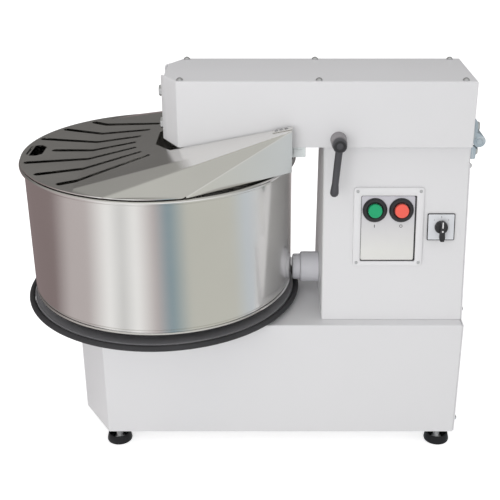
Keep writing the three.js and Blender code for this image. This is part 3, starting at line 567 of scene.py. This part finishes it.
def make_selector():
    x, z = panel_xz("selector_plate")
    half = 22.7
    square = rectangle(-half, half, -half, half)
    place = on_panel(x, z)
    border = Shape().block(square, 0.4, 2.7, 2.6, 0.5)
    border.piece("selector_border", black_plastic, "stand", "selector_plate", slot="black_plastic",
                 place=place)
    face = Shape().block(inset(square, 1.4), 2.5, 3.0, 1.6, 0.15)
    face.piece("selector_face", dial_sheet, "stand", slot="panel_plate", place=place)
    for digit, angle in (("1", 45), ("0", 0), ("2", -45)):
        a = math.radians(90 + angle)
        text = bpy.data.curves.new(f"selector_digit_{digit}", "FONT")
        text.body, text.size, text.extrude = digit, 4.2 * MM, 0.12 * MM
        text.align_x, text.align_y = "CENTER", "CENTER"
        source = bpy.data.objects.new("digit_source", text)
        bpy.context.scene.collection.objects.link(source)
        mesh = bpy.data.meshes.new_from_object(source.evaluated_get(
            bpy.context.evaluated_depsgraph_get()))
        bpy.data.objects.remove(source)
        mesh.materials.clear()
        mesh.materials.append(boss_grey)
        obj = bpy.data.objects.new(f"selector_digit_{digit}", mesh)
        bpy.context.scene.collection.objects.link(obj)
        spot = place @ at(16.5 * math.cos(a), 16.5 * math.sin(a), 3.0)
        spot.translation *= MM
        obj.matrix_world = spot
        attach(obj, "stand")

    # the knob points to the middle mark
    knob = Shape()
    knob.lathe([(0, 0.4), (4.8, 0.4), (4.8, 3.4), (11, 3.4), (11, 4.6), (10.2, 10.4), (9.4, 11.6),
                (8.2, 12), (0, 12)], sides=64)
    grip = [(-3.0, -21.5), (3.0, -21.5), (4.4, -16), (3.7, 4), (3.0, 13), (-3.0, 13), (-3.7, 4),
            (-4.4, -16)]
    knob.block(grip, 11, 19.8, 1.6, 1.3)
    knob.piece("selector_handle", black_plastic, "selector", "selector_knob", slot="black_plastic",
               place=place)
    index = Shape().block(rectangle(-1.0, 1.0, 1.5, 11.5), 19.6, 20.0, 0.4, 0.1)
    index.lathe([(0, 19.6), (1.5, 19.6), (1.5, 20), (0, 20)], at(0, -4, 0), sides=24)
    index.piece("selector_index", white_ink, "selector", slot="panel_plate", place=place)


# ------------------------------------------------------------------ buffer and hinge
def make_buffer():
    low, high = node_box("buffer_sleeve")
    nose_low, _ = node_box("buffer_nose")
    z = (low.z + high.z) / 2
    wall = column_low.x - 0.3
    place = at(0, 0, z, UP_TO_X)
    sleeve = [(12.6, low.x), (23.6, low.x), (25.2, low.x + 0.7), (26.4, low.x + 2), (26.8, low.x + 3.6),
              (26.8, wall - 0.8), (26.2, wall), (12.6, wall)]
    Shape().lathe(sleeve, closed=True).piece("buffer_collar", grey_plastic, "stand", "buffer_sleeve",
                                             slot="grey_plastic", place=place)
    face = nose_low.x
    nose = [(0, face), (19.5, face), (21.6, face + 0.8), (22.8, face + 2.6), (22.8, low.x - 0.5),
            (12, low.x - 0.4), (12, low.x + 15), (0, low.x + 15)]
    Shape().lathe(nose).piece("buffer_pad", grey_plastic, "stand", "buffer_nose", slot="grey_plastic",
                              place=place)


def make_hinge():
    x, z = hinge_mid.x, hinge_mid.z
    plate0, plate1, r = rear_x + 0.3, rear_x + 8, 10.0
    knuckle = circle(r, 40, x, z)
    head_bits = ((-70, -35), (35, 70))

    def leaf(shape, z0, z1):
        plate = [(plate0, z0), (plate1 - 1, z0), (plate1, z0 + 3), (plate1, z1 - 5), (plate1 - 3.5, z1),
                 (plate0, z1)]
        shape.block(plate, -70, 70, 1.2, 1.2, UP_TO_FRONT)

    head = Shape()
    leaf(head, z + 3.5, 577)
    for y0, y1 in head_bits:
        head.block(knuckle, -y1, -y0, 0.2, 1.0, UP_TO_FRONT)
        web = [(plate0 + 1, z - 4), (x, z - 4), (x + 8, z + 5), (x + 5, z + 9), (plate1 - 1, z + 15),
               (plate0 + 1, z + 18)]
        head.block(web, -y1 + 0.1, -y0 - 0.1, 1.5, 0.9, UP_TO_FRONT)
    head.piece("hinge_upper_leaf", casting, "head", "hinge_head_leaf", slot="hinge_casting")
    column = Shape()
    leaf(column, 511, seam_z - 0.7)
    column.block(knuckle, -34.6, 34.6, 0.2, 1.0, UP_TO_FRONT)
    column.block([(plate0 + 1, z - 14), (x - 1, z - 9.5), (x - 1, z - 3), (plate0 + 1, z - 3)], -34.4,
                 34.4, 0.5, 0.5, UP_TO_FRONT)
    column.piece("hinge_lower_leaf", casting, "stand", "hinge_column_leaf", slot="hinge_casting")
    pin = [(0, -72.4), (4.2, -72.4), (5, -71.6), (5, 71.4), (4.4, 72), (0, 72)]
    Shape().lathe(pin, sides=40).piece(
        "hinge_pin_bar", casting, "stand", "hinge_pin", slot="hinge_casting",
        place=at(x, 0, z, Matrix.Rotation(math.radians(-90), 4, "X")))
    for side, body in (("head", "head"), ("column", "stand")):
        for i in (1, 2):
            node = f"hinge_{side}_bolt_{i}"
            mid = node_mid(node)
            hex_bolt(f"hinge_{side}_hex_{i}", at(plate1 + 0.2, mid.y, mid.z, UP_TO_X), body, node,
                     across=13, h=6, washer=8.6)


# ------------------------------------------------------------------ head
clamp_pivot = Vector(next(j for j in frame["joints"] if j["name"] == "clamp_turn")["pos_m"]) / MM
clamp_x, clamp_z = clamp_pivot.x, clamp_pivot.z


def make_head():
    # two upright ears stand proud of the nose's set-back front
    nose, back = HEAD_NOSE, HEAD_NOSE["setback"]
    rise = (head_high.y - nose["half"]) / nose["depth"]
    front = Vector((head_low.x + back, head_low.y))
    body_nose = {"half": nose["half"] + rise * back, "depth": nose["depth"] - back}
    outline = nosed(front, head_high, body_nose)
    case = folded_case(outline, head_low.z, head_high.z, [2, 2, 3, 0.8, 0.8, 3], 2.6)
    # the ears run along the chamfers, each with a rounded upper corner
    up = Vector((0, 0, 1))
    height = head_high.z - head_low.z - 0.6
    for s in (-1, 1):
        along = Vector((1, s * rise, 0)).normalized()
        normal = along.cross(up)
        ear = Matrix.Translation((head_low.x, s * nose["half"], head_low.z + 0.3)) @ Matrix((
            (along.x, up.x, normal.x, 0), (along.y, up.y, normal.y, 0), (along.z, up.z, normal.z, 0),
            (0, 0, 0, 1)))
        skin = 0.08
        low, high = (-nose["ear"], skin) if s < 0 else (-skin, nose["ear"])
        case.block(rectangle(0, 16, 0, height), low, high, [1, 0.3, 0.3, 5], 0.6, ear)
    case.piece("head_case", paint, "head", "head_cover", slot="white_paint")

    # the frame shows as the pan that closes the head's underside
    pan = Shape().block(inset(outline, 4), head_low.z - 0.2, head_low.z + 5, 3, 0.8)
    pan.piece("head_pan", paint, "head", "head_frame", slot="white_paint")
    side = head_high.y
    boss = [(6.4, 0), (13.1, 0), (13.1, 1.4), (12.6, 2.2), (12.5, 4), (12.5, 23), (11.5, 24.4),
            (6.4, 24.4)]
    Shape().lathe(boss, closed=True, sides=64).piece(
        "clamp_boss", boss_grey, "head", slot="black_plastic",
        place=at(clamp_x, -side - 0.2, clamp_z, UP_TO_FRONT))

    for i in range(1, 7):
        mid = node_mid(f"head_screw_{i}")
        dome_screw(f"head_cover_screw_{i}", at(mid.x, mid.y, head_high.z + 0.2), "head",
                   f"head_screw_{i}", r=5.4, h=3.8)
    for i in (1, 2):
        mid = node_mid(f"nose_bolt_{i}")
        hex_bolt(f"nose_hex_{i}", at(head_low.x - 0.2, mid.y, mid.z, UP_TO_MINUS_X), "head",
                 f"nose_bolt_{i}", across=16.5, h=6.8, washer=10.2, collar=nose["setback"])

    low, high = node_box("lid_switch_box")
    box = Shape().block(rectangle(low.x, high.x, low.y, high.y), low.z, high.z, 2.5, 1.6)
    box.block(rectangle(low.x + 4, high.x - 4, low.y - 1.5, low.y + 2), low.z + 5, high.z - 5, 1, 0.6)
    box.piece("lid_switch_case", milky, "head", "lid_switch_box", slot="milky_plastic")


def make_breaker():
    low, high = node_box("breaker_bar")
    x, r = -114.5, 13.0
    end = [(r * math.sin(math.radians(a)), low.z + 6 - 6 * math.cos(math.radians(a)))
           for a in (0, 30, 50, 70, 90)]
    bar = Shape().lathe([*end, (r, high.z - 66), (0, high.z - 66)], at(x, 0, 0))
    bar.block(rectangle(low.x, high.x, low.y, high.y), 539.8, high.z, 2, 1)
    bar.lathe([(r, 0), (r + 9, 0), (r + 9, 2.2), (r + 8, 3), (r, 3)], at(x, 0, head_low.z - 3.4),
              closed=True)
    bar.piece("breaker_post", plain_steel, "head", "breaker_bar", slot="brushed_stainless")
    mid = node_mid("spiral_bearing")
    seal = [(16, 0), (44, 0), (46, 1.4), (46, 3), (16, 3)]
    Shape().lathe(seal, closed=True).piece("spiral_seal_plate", plain_steel, "head",
                                           slot="brushed_stainless",
                                           place=at(mid.x, 0, head_low.z - 3.4))


def make_spiral():
    radius, bar, shaft, low, top, turns = 70.0, 11.0, 15.0, 294.0, 505.0, 1.35
    start_angle, tail, knots_down, between = 0.5, 0.55, 26, 5
    axis_x = Vector(next(j for j in frame["joints"] if j["name"] == "spiral_spin")["pos_m"]).x / MM
    knots = [Vector((0, 0, top + 4)), Vector((radius * 0.45, 0, top - 6))]
    for i in range(knots_down + 1):
        t = i / knots_down
        a = start_angle + turns * 2 * math.pi * t
        knots.append(Vector((radius * math.cos(a), radius * math.sin(a),
                             top - 22 - (top - 22 - low) * t)))
    last = start_angle + turns * 2 * math.pi + tail
    knots.append(Vector((radius * 0.62 * math.cos(last), radius * 0.62 * math.sin(last), low)))
    ends = [knots[0] * 2 - knots[1], *knots, knots[-1] * 2 - knots[-2]]
    path = []
    for a, b, c, d in zip(ends, ends[1:], ends[2:], ends[3:]):
        for k in range(between):
            t = k / between
            path.append(0.5 * ((2 * b) + (c - a) * t + (2 * a - 5 * b + 4 * c - d) * t * t
                               + (3 * b - a - 3 * c + d) * t ** 3))
    path.append(knots[-1])
    hook = Shape().tube(path, [bar] * len(path))
    hook.lathe([(0, top - 12), (shaft - 3, top - 12), (shaft, top - 9), (shaft, 534), (0, 534)])
    hook.piece("kneading_spiral", plain_steel, "spiral", "spiral_hook", slot="brushed_stainless",
               place=at(axis_x, 0, 0))


def make_clamp():
    pivot = Vector((clamp_x, -106.3, clamp_z))
    lever = Shape()
    cap = [(0, 0), (10.4, 0), (11.3, 1), (11.5, 3), (11.3, 10.6), (10.6, 11.6), (9.4, 12), (8.2, 11.4),
           (7.4, 10.6), (6.4, 11.2), (4.6, 11.6), (0, 11.7)]
    lever.lathe(cap, at(*pivot, UP_TO_FRONT), sides=72)
    lever.lathe([(0, -3), (6, -3), (6, 0.5), (0, 0.5)], at(*pivot, UP_TO_FRONT), sides=32)
    start, end = pivot + Vector((-0.6, -5.6, -7)), Vector((clamp_x - 7, -121, 472))
    path, radii = [], []
    for k in range(17):
        t = k / 16
        bow = Vector((0, 2.4 * math.sin(math.pi * t), 0))
        path.append(start.lerp(end, t) + bow)
        radii.append(5.9 - 0.5 * t + 1.5 * max(0, (t - 0.84) / 0.16) ** 0.5)
    lever.tube(path, radii, sides=40)
    lever.piece("clamp_handle", lever_plastic, "clamp", "clamp_lever", slot="black_plastic")
    ring = Shape().lathe([(5.6, 11.4), (5.6, 12.2), (6.4, 12.6), (8.6, 12.6), (9.4, 12.1), (9.4, 11.4)],
                         at(*pivot, UP_TO_FRONT), sides=72, closed=True)
    ring.piece("clamp_cap_ring", black_plastic, "clamp", slot="black_plastic")


# ------------------------------------------------------------------ lid
lid_z = LID["z"]
lid_end = node_box("lid_panel")[1].x
fold_x = bowl_x - LID["fold"]


def roof_planes():
    """Height functions of the roof: a sloping middle and two fanned panels each side."""
    ridge_z = lid_z + LID["slope"] * (lid_end - fold_x)
    start = (bowl_x + LID["ridge_start"][0], LID["ridge_start"][1])
    rim = (bowl_x - 59.0, LID["fold_rim"])
    planes = [lambda x, y: lid_z + LID["slope"] * (x - fold_x)]

    def through(a, b, c):
        n = (b - a).cross(c - a)
        return lambda x, y: a.z - (n.x * (x - a.x) + n.y * (y - a.y)) / n.z

    for s in (-1, 1):
        apex = Vector((lid_end, s * LID["ridge"], ridge_z))
        fold = Vector((fold_x, s * LID["fold_half"], lid_z))
        edge = Vector((rim[0], s * rim[1], lid_z))
        first = Vector((start[0], s * start[1], lid_z))
        planes += [through(fold, edge, apex), through(edge, first, apex)]
    return planes


PLANES = roof_planes()


def lid_height(x, y, soft=0.5):
    """Roof height, with each fold eased over a few millimetres."""
    def soft_min(a, b):
        h = max(soft - abs(a - b), 0) / soft
        return min(a, b) - h ** 3 * soft / 6

    height = PLANES[0](x, y)
    for plane in PLANES[1:]:
        height = soft_min(height, plane(x, y))
    return -soft_min(-height, -lid_z)


def lid_outline():
    """Plan outline, anticlockwise, with the ridge edges drawn in by the bend radius."""
    start_dx, start_y = LID["ridge_start"]
    lead = math.degrees(math.atan2(start_y, start_dx))
    rim = arc(bowl_x, 0, LID["r"], lead, 360 - lead, 150)
    left = bowl_x + start_dx
    inner = LID["inner"]
    along = Vector((lid_end - left, start_y - LID["ridge"])).normalized()
    inward_shift = Vector((-along.y, -along.x)) * LID["bend"]
    ridge_low = [Vector((left, -start_y)), Vector((lid_end, -LID["ridge"]))]
    ridge_low = [p + Vector((inward_shift.x, -inward_shift.y)) for p in ridge_low]
    ridge_high = [Vector((p.x, -p.y)) for p in ridge_low]
    notch = [(bowl_x + 27.7, inner), (bowl_x - 0.8, 36), (bowl_x - 0.8, -36), (bowl_x + 27.7, -inner)]
    rim[0], rim[-1] = tuple(ridge_high[0]), tuple(ridge_low[0])
    loop = [*rim, tuple(ridge_low[1]), (lid_end, -inner), *reversed(notch), (lid_end, inner),
            tuple(ridge_high[1])]
    return loop, (ridge_low, ridge_high)


def lid_holes():
    """Slots that fan out from under the head, the hand hole and the slit beside it."""
    holes = []
    slots = [((-175.3, 0), (-42.3, 0))]
    for outer, inner in (((-208.8, 63.5), (-37.8, 31)), ((-179.3, 119.5), (-25.6, 61.5)),
                         ((-135.3, 164), (-8.8, 88))):
        slots += [((outer[0], s * outer[1]), (inner[0], s * inner[1])) for s in (-1, 1)]
    for (x0, y0), (x1, y1) in slots:
        a = math.degrees(math.atan2(y1 - y0, x1 - x0))
        holes.append(arc(bowl_x + x0, y0, LID["slot_outer"], a + 90, a + 270, 8)
                     + arc(bowl_x + x1, y1, LID["slot_inner"], a - 90, a + 90, 8))
    hand = [(-215.3, -28), (-203, -28), (-194.3, -19), (-194.3, 19), (-203, 28), (-215.3, 28)]
    holes.append([(bowl_x + p.x, p.y) for p in rounded(hand, 2, 4)])
    slit = [(-221.5, -20), (-217.5, -25), (-217.5, 25), (-221.5, 20)]
    holes.append([(bowl_x + x, y) for x, y in slit])
    return holes


def inside(point, loop):
    x, y = point
    odd = False
    for (x0, y0), (x1, y1) in zip(loop, loop[1:] + loop[:1]):
        if (y0 > y) != (y1 > y) and x < (x1 - x0) * (y - y0) / (y1 - y0) + x0:
            odd = not odd
    return odd


def make_lid():
    outline, ridges = lid_outline()
    holes = lid_holes()
    points, edges = [], []
    for loop in [outline, *holes]:
        start = len(points)
        points += [Vector(p) for p in loop]
        edges += [(start + i, start + (i + 1) % len(loop)) for i in range(len(loop))]

    def crease(a, b):
        """Lines beside a fold, so that it bends over a few millimetres."""
        a, b = Vector(a), Vector(b)
        across = Vector((a.y - b.y, b.x - a.x)).normalized()
        for off in (-3.2, -1.6, 0, 1.6, 3.2):
            start = len(points)
            points.extend([a + across * off, b + across * off])
            edges.append((start, start + 1))

    crease((fold_x, -226), (fold_x, 226))
    for s in (-1, 1):
        crease((fold_x - 20, s * (LID["fold_half"] + 4.7)), (lid_end + 4, s * (LID["ridge"] - 1)))
        crease((bowl_x - 62, s * (LID["fold_rim"] + 1.3)), (lid_end + 4, s * (LID["ridge"] - 1.6)))
    verts, _, faces, *_ = geometry.delaunay_2d_cdt(points, edges, [], 0, 1e-4)
    bm = bmesh.new()
    made = [bm.verts.new((p.x, p.y, lid_height(p.x, p.y))) for p in verts]
    for face in faces:
        centre = sum((verts[i] for i in face), Vector((0, 0))) / len(face)
        if inside(centre, outline) and not any(inside(centre, h) for h in holes):
            bm.faces.new([made[i] for i in face])
    bmesh.ops.delete(bm, geom=[v for v in bm.verts if not v.link_faces], context="VERTS")
    bmesh.ops.dissolve_limit(bm, angle_limit=math.radians(0.05), verts=bm.verts[:], edges=bm.edges[:])
    for ridge in ridges:
        bend_down(bm, *ridge)
    for f in bm.faces:
        f.normal_update()
    if sum(f.normal.z * f.calc_area() for f in bm.faces) < 0:
        bmesh.ops.reverse_faces(bm, faces=bm.faces[:])
    bmesh.ops.scale(bm, vec=(MM, MM, MM), verts=bm.verts[:])
    lid = finish_piece(bm, "lid_sheet", lid_steel, "lid", ["lid_panel"], sharp=50)
    thick = lid.modifiers.new("thickness", "SOLIDIFY")
    thick.thickness, thick.offset = LID["sheet"] * MM, -1
    thick.use_even_offset = True
    soft = lid.modifiers.new("edges", "BEVEL")
    soft.width, soft.segments = 0.3 * MM, 2
    soft.limit_method, soft.angle_limit = "ANGLE", math.radians(60)
    normals = lid.modifiers.new("normals", "WEIGHTED_NORMAL")
    normals.keep_sharp = True


def bend_down(bm, start, end):
    """Turns the sheet down along a ridge edge, as a bend and an upright wall."""
    along = (end - start).normalized()
    out = Vector((along.y, -along.x))
    if out.y * start.y < 0:
        out.negate()

    def on_ridge(v):
        offset = v.co.xy - start
        return abs(offset.dot(out)) < 0.02 and -0.1 < offset.dot(along) < (end - start).length + 0.1

    row = [e for e in bm.edges if len(e.link_faces) == 1 and all(on_ridge(v) for v in e.verts)]
    r = LID["bend"]
    turns = 5
    for k in range(1, turns + 2):
        made = bmesh.ops.extrude_edge_only(bm, edges=row)["geom"]
        verts = [g for g in made if isinstance(g, bmesh.types.BMVert)]
        row = [g for g in made if isinstance(g, bmesh.types.BMEdge)
               and all(v in verts for v in g.verts)]
        for v in verts:
            if k <= turns:
                a, b = math.pi / 2 * (k - 1) / turns, math.pi / 2 * k / turns
                v.co.xy += out * r * (math.sin(b) - math.sin(a))
                v.co.z -= r * (math.cos(a) - math.cos(b))
            else:
                v.co.z = min(v.co.z - 0.3, wall_bottom(v.co.x))


def wall_bottom(x):
    """The wall's foot drops outside the bowl's rim, past where the two cross in plan."""
    deep_from, deep_to = bowl_x + 95.7, bowl_x + 161.7
    return 497.6 if deep_from < x < deep_to else 501.6


def make_lid_hinges():
    """Leaves under the sheet that turn on the rod, each screwed through from a strap on top."""
    axis = node_mid("lid_hinge_rod")
    slope = LID["slope"]

    def rise(x):
        return lid_z + slope * (x - fold_x)

    for name in ("front", "back"):
        node = f"lid_hinge_{name}"
        low, high = node_box(node)
        leaf = Shape()
        under = LID["sheet"] + 0.3
        bar = [(low.x, rise(low.x) - under - 3), (high.x - 1, rise(high.x) - under - 3),
               (high.x - 1, rise(high.x) - under), (low.x, rise(low.x) - under)]
        leaf.block(bar, -high.y, -low.y, 0.6, 0.4, UP_TO_FRONT)
        leaf.block(circle(6.8, 48, axis.x, axis.z), -high.y, -low.y, 0.1, 0.6, UP_TO_FRONT)
        leaf.piece(f"lid_hinge_{name}_leaf", plain_steel, "lid", node, slot="brushed_stainless")
        strap = [(low.x, rise(low.x) + 0.25), (high.x, rise(high.x) + 0.25),
                 (high.x, rise(high.x) + 1.4), (low.x, rise(low.x) + 1.4)]
        Shape().block(strap, -high.y + 1, -low.y - 1, 0.4, 0.4, UP_TO_FRONT).piece(
            f"lid_hinge_{name}_strap", plain_steel, "lid", slot="brushed_stainless")
        for i, reach in enumerate((6, 14, 22)):
            x = low.x + reach
            tilt = Matrix.Rotation(-math.atan(slope), 4, "Y")
            head = [(0, -1), (3.1, -1), (3.1, 0.3), (2.6, 1), (1.5, 1.4), (1.2, 0.6), (0, 0.5)]
            Shape().lathe(head, sides=32).piece(
                f"lid_hinge_{name}_screw_{i + 1}", drive_steel, "lid", slot="drive_steel",
                place=at(x, (low.y + high.y) / 2, rise(x) + 1.4, tilt))
    rod = Shape().lathe([(0, -104), (3.2, -104), (4, -103.2), (4, 103.2), (3.2, 104), (0, 104)],
                        sides=40)
    rod.piece("lid_pivot_rod", zinc, "head", "lid_hinge_rod", slot="zinc_fastener",
              place=at(axis.x, 0, axis.z, UP_TO_FRONT))


# ------------------------------------------------------------------ bowl and dish
def make_bowl():
    r, wall, z0, rim_z, rim_r, roll = 225.0, 2.0, node_box("bowl")[0].z, 496.0, 229.0, 3.6
    inner = r - wall
    foot = [(0, z0), (r - 18, z0), (r - 4, z0 + 0.5), (r - 1.6, z0 + 1.4), (r - 0.5, z0 + 2.6),
            (r - 0.3, z0 + 3.6), (r - 0.9, z0 + 4.5), (r - 1.8, z0 + 5.3), (r - 1.7, z0 + 6.2),
            (r - 0.5, z0 + 9.9), (r - 0.5, z0 + 10.5), (r - 1.5, z0 + 11.2), (r - 1.4, z0 + 12),
            (r, z0 + 13)]
    curl = arc(rim_r, rim_z, roll, -150, 132, 18)
    inside_foot = [(inner, z0 + 16), (inner - 1.2, z0 + 9.5), (inner - 4.6, z0 + 5),
                   (inner - 10, z0 + 3), (inner - 18, z0 + 2.6), (0, z0 + 2.6)]
    profile = [*foot, (r, rim_z - 6), (r, rim_z - 3), *curl, (inner, rim_z + 0.5), *inside_foot]
    bowl = Shape().lathe(profile, sides=192)
    bowl.piece("mixing_bowl", turned_steel, "bowl_unit", "bowl", slot="brushed_stainless",
               place=at(bowl_x, 0, 0), sharp=28)


def make_dish():
    floor, lip = 244.0, 229.0
    top = [(0, floor + 3), (176, floor + 3.2), (188, floor + 4.6), (199, floor + 7.4),
           (212, floor + 9.4), (222, floor + 10.6), (226.4, floor + 11.6), (227.8, floor + 13)]
    under = [(lip, floor + 13), (lip, floor + 4), (lip - 2, floor + 1.4), (lip - 7, floor), (60, floor),
             (60, floor - 2.4), (20, floor - 2.6), (20, 76), (0, 76)]
    Shape().lathe([*top, *under], sides=192).piece(
        "carrier_pan", dish_steel, "bowl_unit", "carrier_dish", slot="dish_steel",
        place=at(bowl_x, 0, 0))
    # The seat ring is black rubber, and its colour is also painted shade: it fills the dark gap under the
    # bowl's foot.
    seat_top = node_box("bowl")[0].z - 0.3
    seat = [(152, floor + 3), (174, floor + 3), (174, seat_top - 1.5), (172, seat_top),
            (154, seat_top), (152, seat_top - 1.5)]
    Shape().lathe(seat, closed=True, sides=128).piece(
        "bowl_seat_ring", rubber, "bowl_unit", slot="rim_rubber", place=at(bowl_x, 0, 0))
    mid_r, mid_z, half = 234.3, 252.5, 5.0
    ring = []
    for k in range(32):
        a = 2 * math.pi * k / 32
        # a faint moulded groove runs round the outside, just above the middle
        dip = 0.55 * math.exp(-((math.degrees(a) - 33) / 9) ** 2)
        ring.append((max(mid_r + (half - dip) * math.cos(a), lip + 0.3),
                     mid_z + (half - dip) * math.sin(a)))
    Shape().lathe(ring, closed=True, sides=192).piece(
        "dish_edging", rubber, "bowl_unit", "dish_rubber_rim", slot="rim_rubber",
        place=at(bowl_x, 0, 0), sharp=60)


# ------------------------------------------------------------------ drive parts kept from the frame
def dress_nodes():
    for node in ("gear_motor", "bowl_bearing", "bowl_sprocket", "bowl_chain", "drive_pinion",
                 "drive_shaft", "clutch_sprocket", "spiral_sprocket", "head_chain", "spiral_bearing"):
        for slot in frame["nodes"][node].material_slots:
            slot.material = motor_paint if node == "gear_motor" else drive_steel


# ------------------------------------------------------------------ floor, light and camera
BROWN, PALE, GREY, WHITE = (0.25, 0.2, 0.2), (0.55, 0.5, 0.5), (0.7, 0.7, 0.7), (1.0, 1.0, 1.0)
TEAL, WARM, COOL, DARK = (0.25, 0.35, 0.4), (0.6, 0.6, 0.55), (0.6, 0.65, 0.7), (0.1, 0.1, 0.1)


def make_floor():
    """Plain pale floor. In reflections it shows the tones of the room round the bowl."""
    reach, glow = 14.0, 0.62
    mesh = bpy.data.meshes.new("floor")
    mesh.from_pydata([(-reach, -reach, 0), (reach, -reach, 0), (reach, reach, 0), (-reach, reach, 0)],
                     [], [(0, 1, 2, 3)])
    material = surface("pale_floor", (0.88, 0.88, 0.88), 0.9, grain=300, bump=0.03, depth=0.05,
                       tint=0.01, tint_scale=1, spread=0.05, specular=0)
    tree = Tree(material)
    shader, output = tree.nodes["Principled BSDF"], tree.nodes["Material Output"]
    path = tree.add("LightPath")
    tree.feed(shader, Emission_Color=(1, 1, 1),
              Emission_Strength=tree.calculate("MULTIPLY", path.outputs["Is Camera Ray"], glow))
    shift = tree.add("Mapping", Vector=tree.add("TexCoord").outputs["Object"],
                     Location=(-bowl_x * MM, 0, 0))
    split = tree.add("SeparateXYZ", Vector=shift.outputs["Vector"])
    tones = tree.ramp(tree.bearing(split.outputs["X"], split.outputs["Y"]), [
        (0.00, BROWN), (0.25, BROWN),                    # a dark wall on the left
        (0.30, PALE), (0.35, PALE),
        (0.40, WHITE), (0.43, GREY), (0.46, WHITE),      # two windows and the post between them
        (0.50, PALE), (0.53, TEAL),                      # a curtain
        (0.57, WARM), (0.67, WARM),                      # a warm wall in front
        (0.71, COOL), (0.76, GREY),                      # a door
        (0.80, BROWN), (0.85, DARK), (0.90, DARK),       # a dark corner
        (0.94, PALE), (1.00, BROWN)])
    room = tree.add("Emission", Color=tones)
    either = tree.add("MixShader", Fac=path.outputs["Is Glossy Ray"])
    tree.links.new(shader.outputs[0], either.inputs[1])
    tree.links.new(room.outputs[0], either.inputs[2])
    tree.feed(output, Surface=either.outputs[0])
    mesh.materials.append(material)
    floor = bpy.data.objects.new("floor", mesh)
    bpy.context.scene.collection.objects.link(floor)


def make_world():
    """Even soft light, a white backdrop, and a darker room behind for reflections."""
    even, back, overhead = (0.655, 0.65, 0.655), (0.145, 0.14, 0.135), (0.53, 0.53, 0.50)
    world = bpy.data.worlds.new("studio")
    bpy.context.scene.world = world
    tree = Tree(world)
    tree.nodes.clear()
    split = tree.add("SeparateXYZ", Vector=tree.add("TexCoord").outputs["Generated"])
    walls = tree.ramp(tree.bearing(split.outputs["X"], split.outputs["Y"]), [
        (0.00, back), (0.16, back), (0.30, PALE), (0.42, WHITE), (0.60, WHITE), (0.68, GREY),
        (0.78, DARK), (0.88, back), (1.00, back)])
    room = tree.mix(tree.span(split.outputs["Z"], 0.35, 0.95), walls, overhead)
    path = tree.add("LightPath")
    lit = tree.mix(path.outputs["Is Glossy Ray"], even, room)
    seen = tree.mix(path.outputs["Is Camera Ray"], lit, (1.0, 1.0, 1.0))
    background = tree.add("Background", Color=seen)
    tree.add("OutputWorld", Surface=background.outputs[0])


def make_lights():
    for name, place, target, size, power in (
            ("key", (-0.8, -2.6, 0.9), (0, 0, 0.35), 1.6, 21),
            ("top", (-0.2, 0.4, 2.6), (0, 0, 0.3), 1.8, 4.5)):
        light = bpy.data.lights.new(name, "AREA")
        light.size, light.energy = size, power
        lamp = bpy.data.objects.new(name, light)
        lamp.location = place
        lamp.rotation_euler = (Vector(target) - Vector(place)).to_track_quat("-Z", "Y").to_euler()
        lamp.visible_camera = False
        lamp.visible_glossy = False
        bpy.context.scene.collection.objects.link(lamp)


def make_camera():
    data = bpy.data.cameras.new("view")
    data.sensor_width = 36
    data.lens = 66.93
    data.shift_x, data.shift_y = -0.0348, -0.0081
    camera = bpy.data.objects.new("view", data)
    camera.location = (0.0355, -1.506, 1.0002)
    camera.rotation_euler = (math.radians(65.86), 0, 0)
    bpy.context.scene.collection.objects.link(camera)
    bpy.context.scene.camera = camera
    bpy.context.scene.view_settings.view_transform = "Standard"


for make in (make_camera, make_floor, make_world, make_lights, make_stand, make_gland, make_feet,
             make_controls, make_selector, make_buffer, make_hinge, make_head, make_breaker,
             make_spiral, make_clamp, make_lid, make_lid_hinges, make_bowl, make_dish, dress_nodes):
    make()
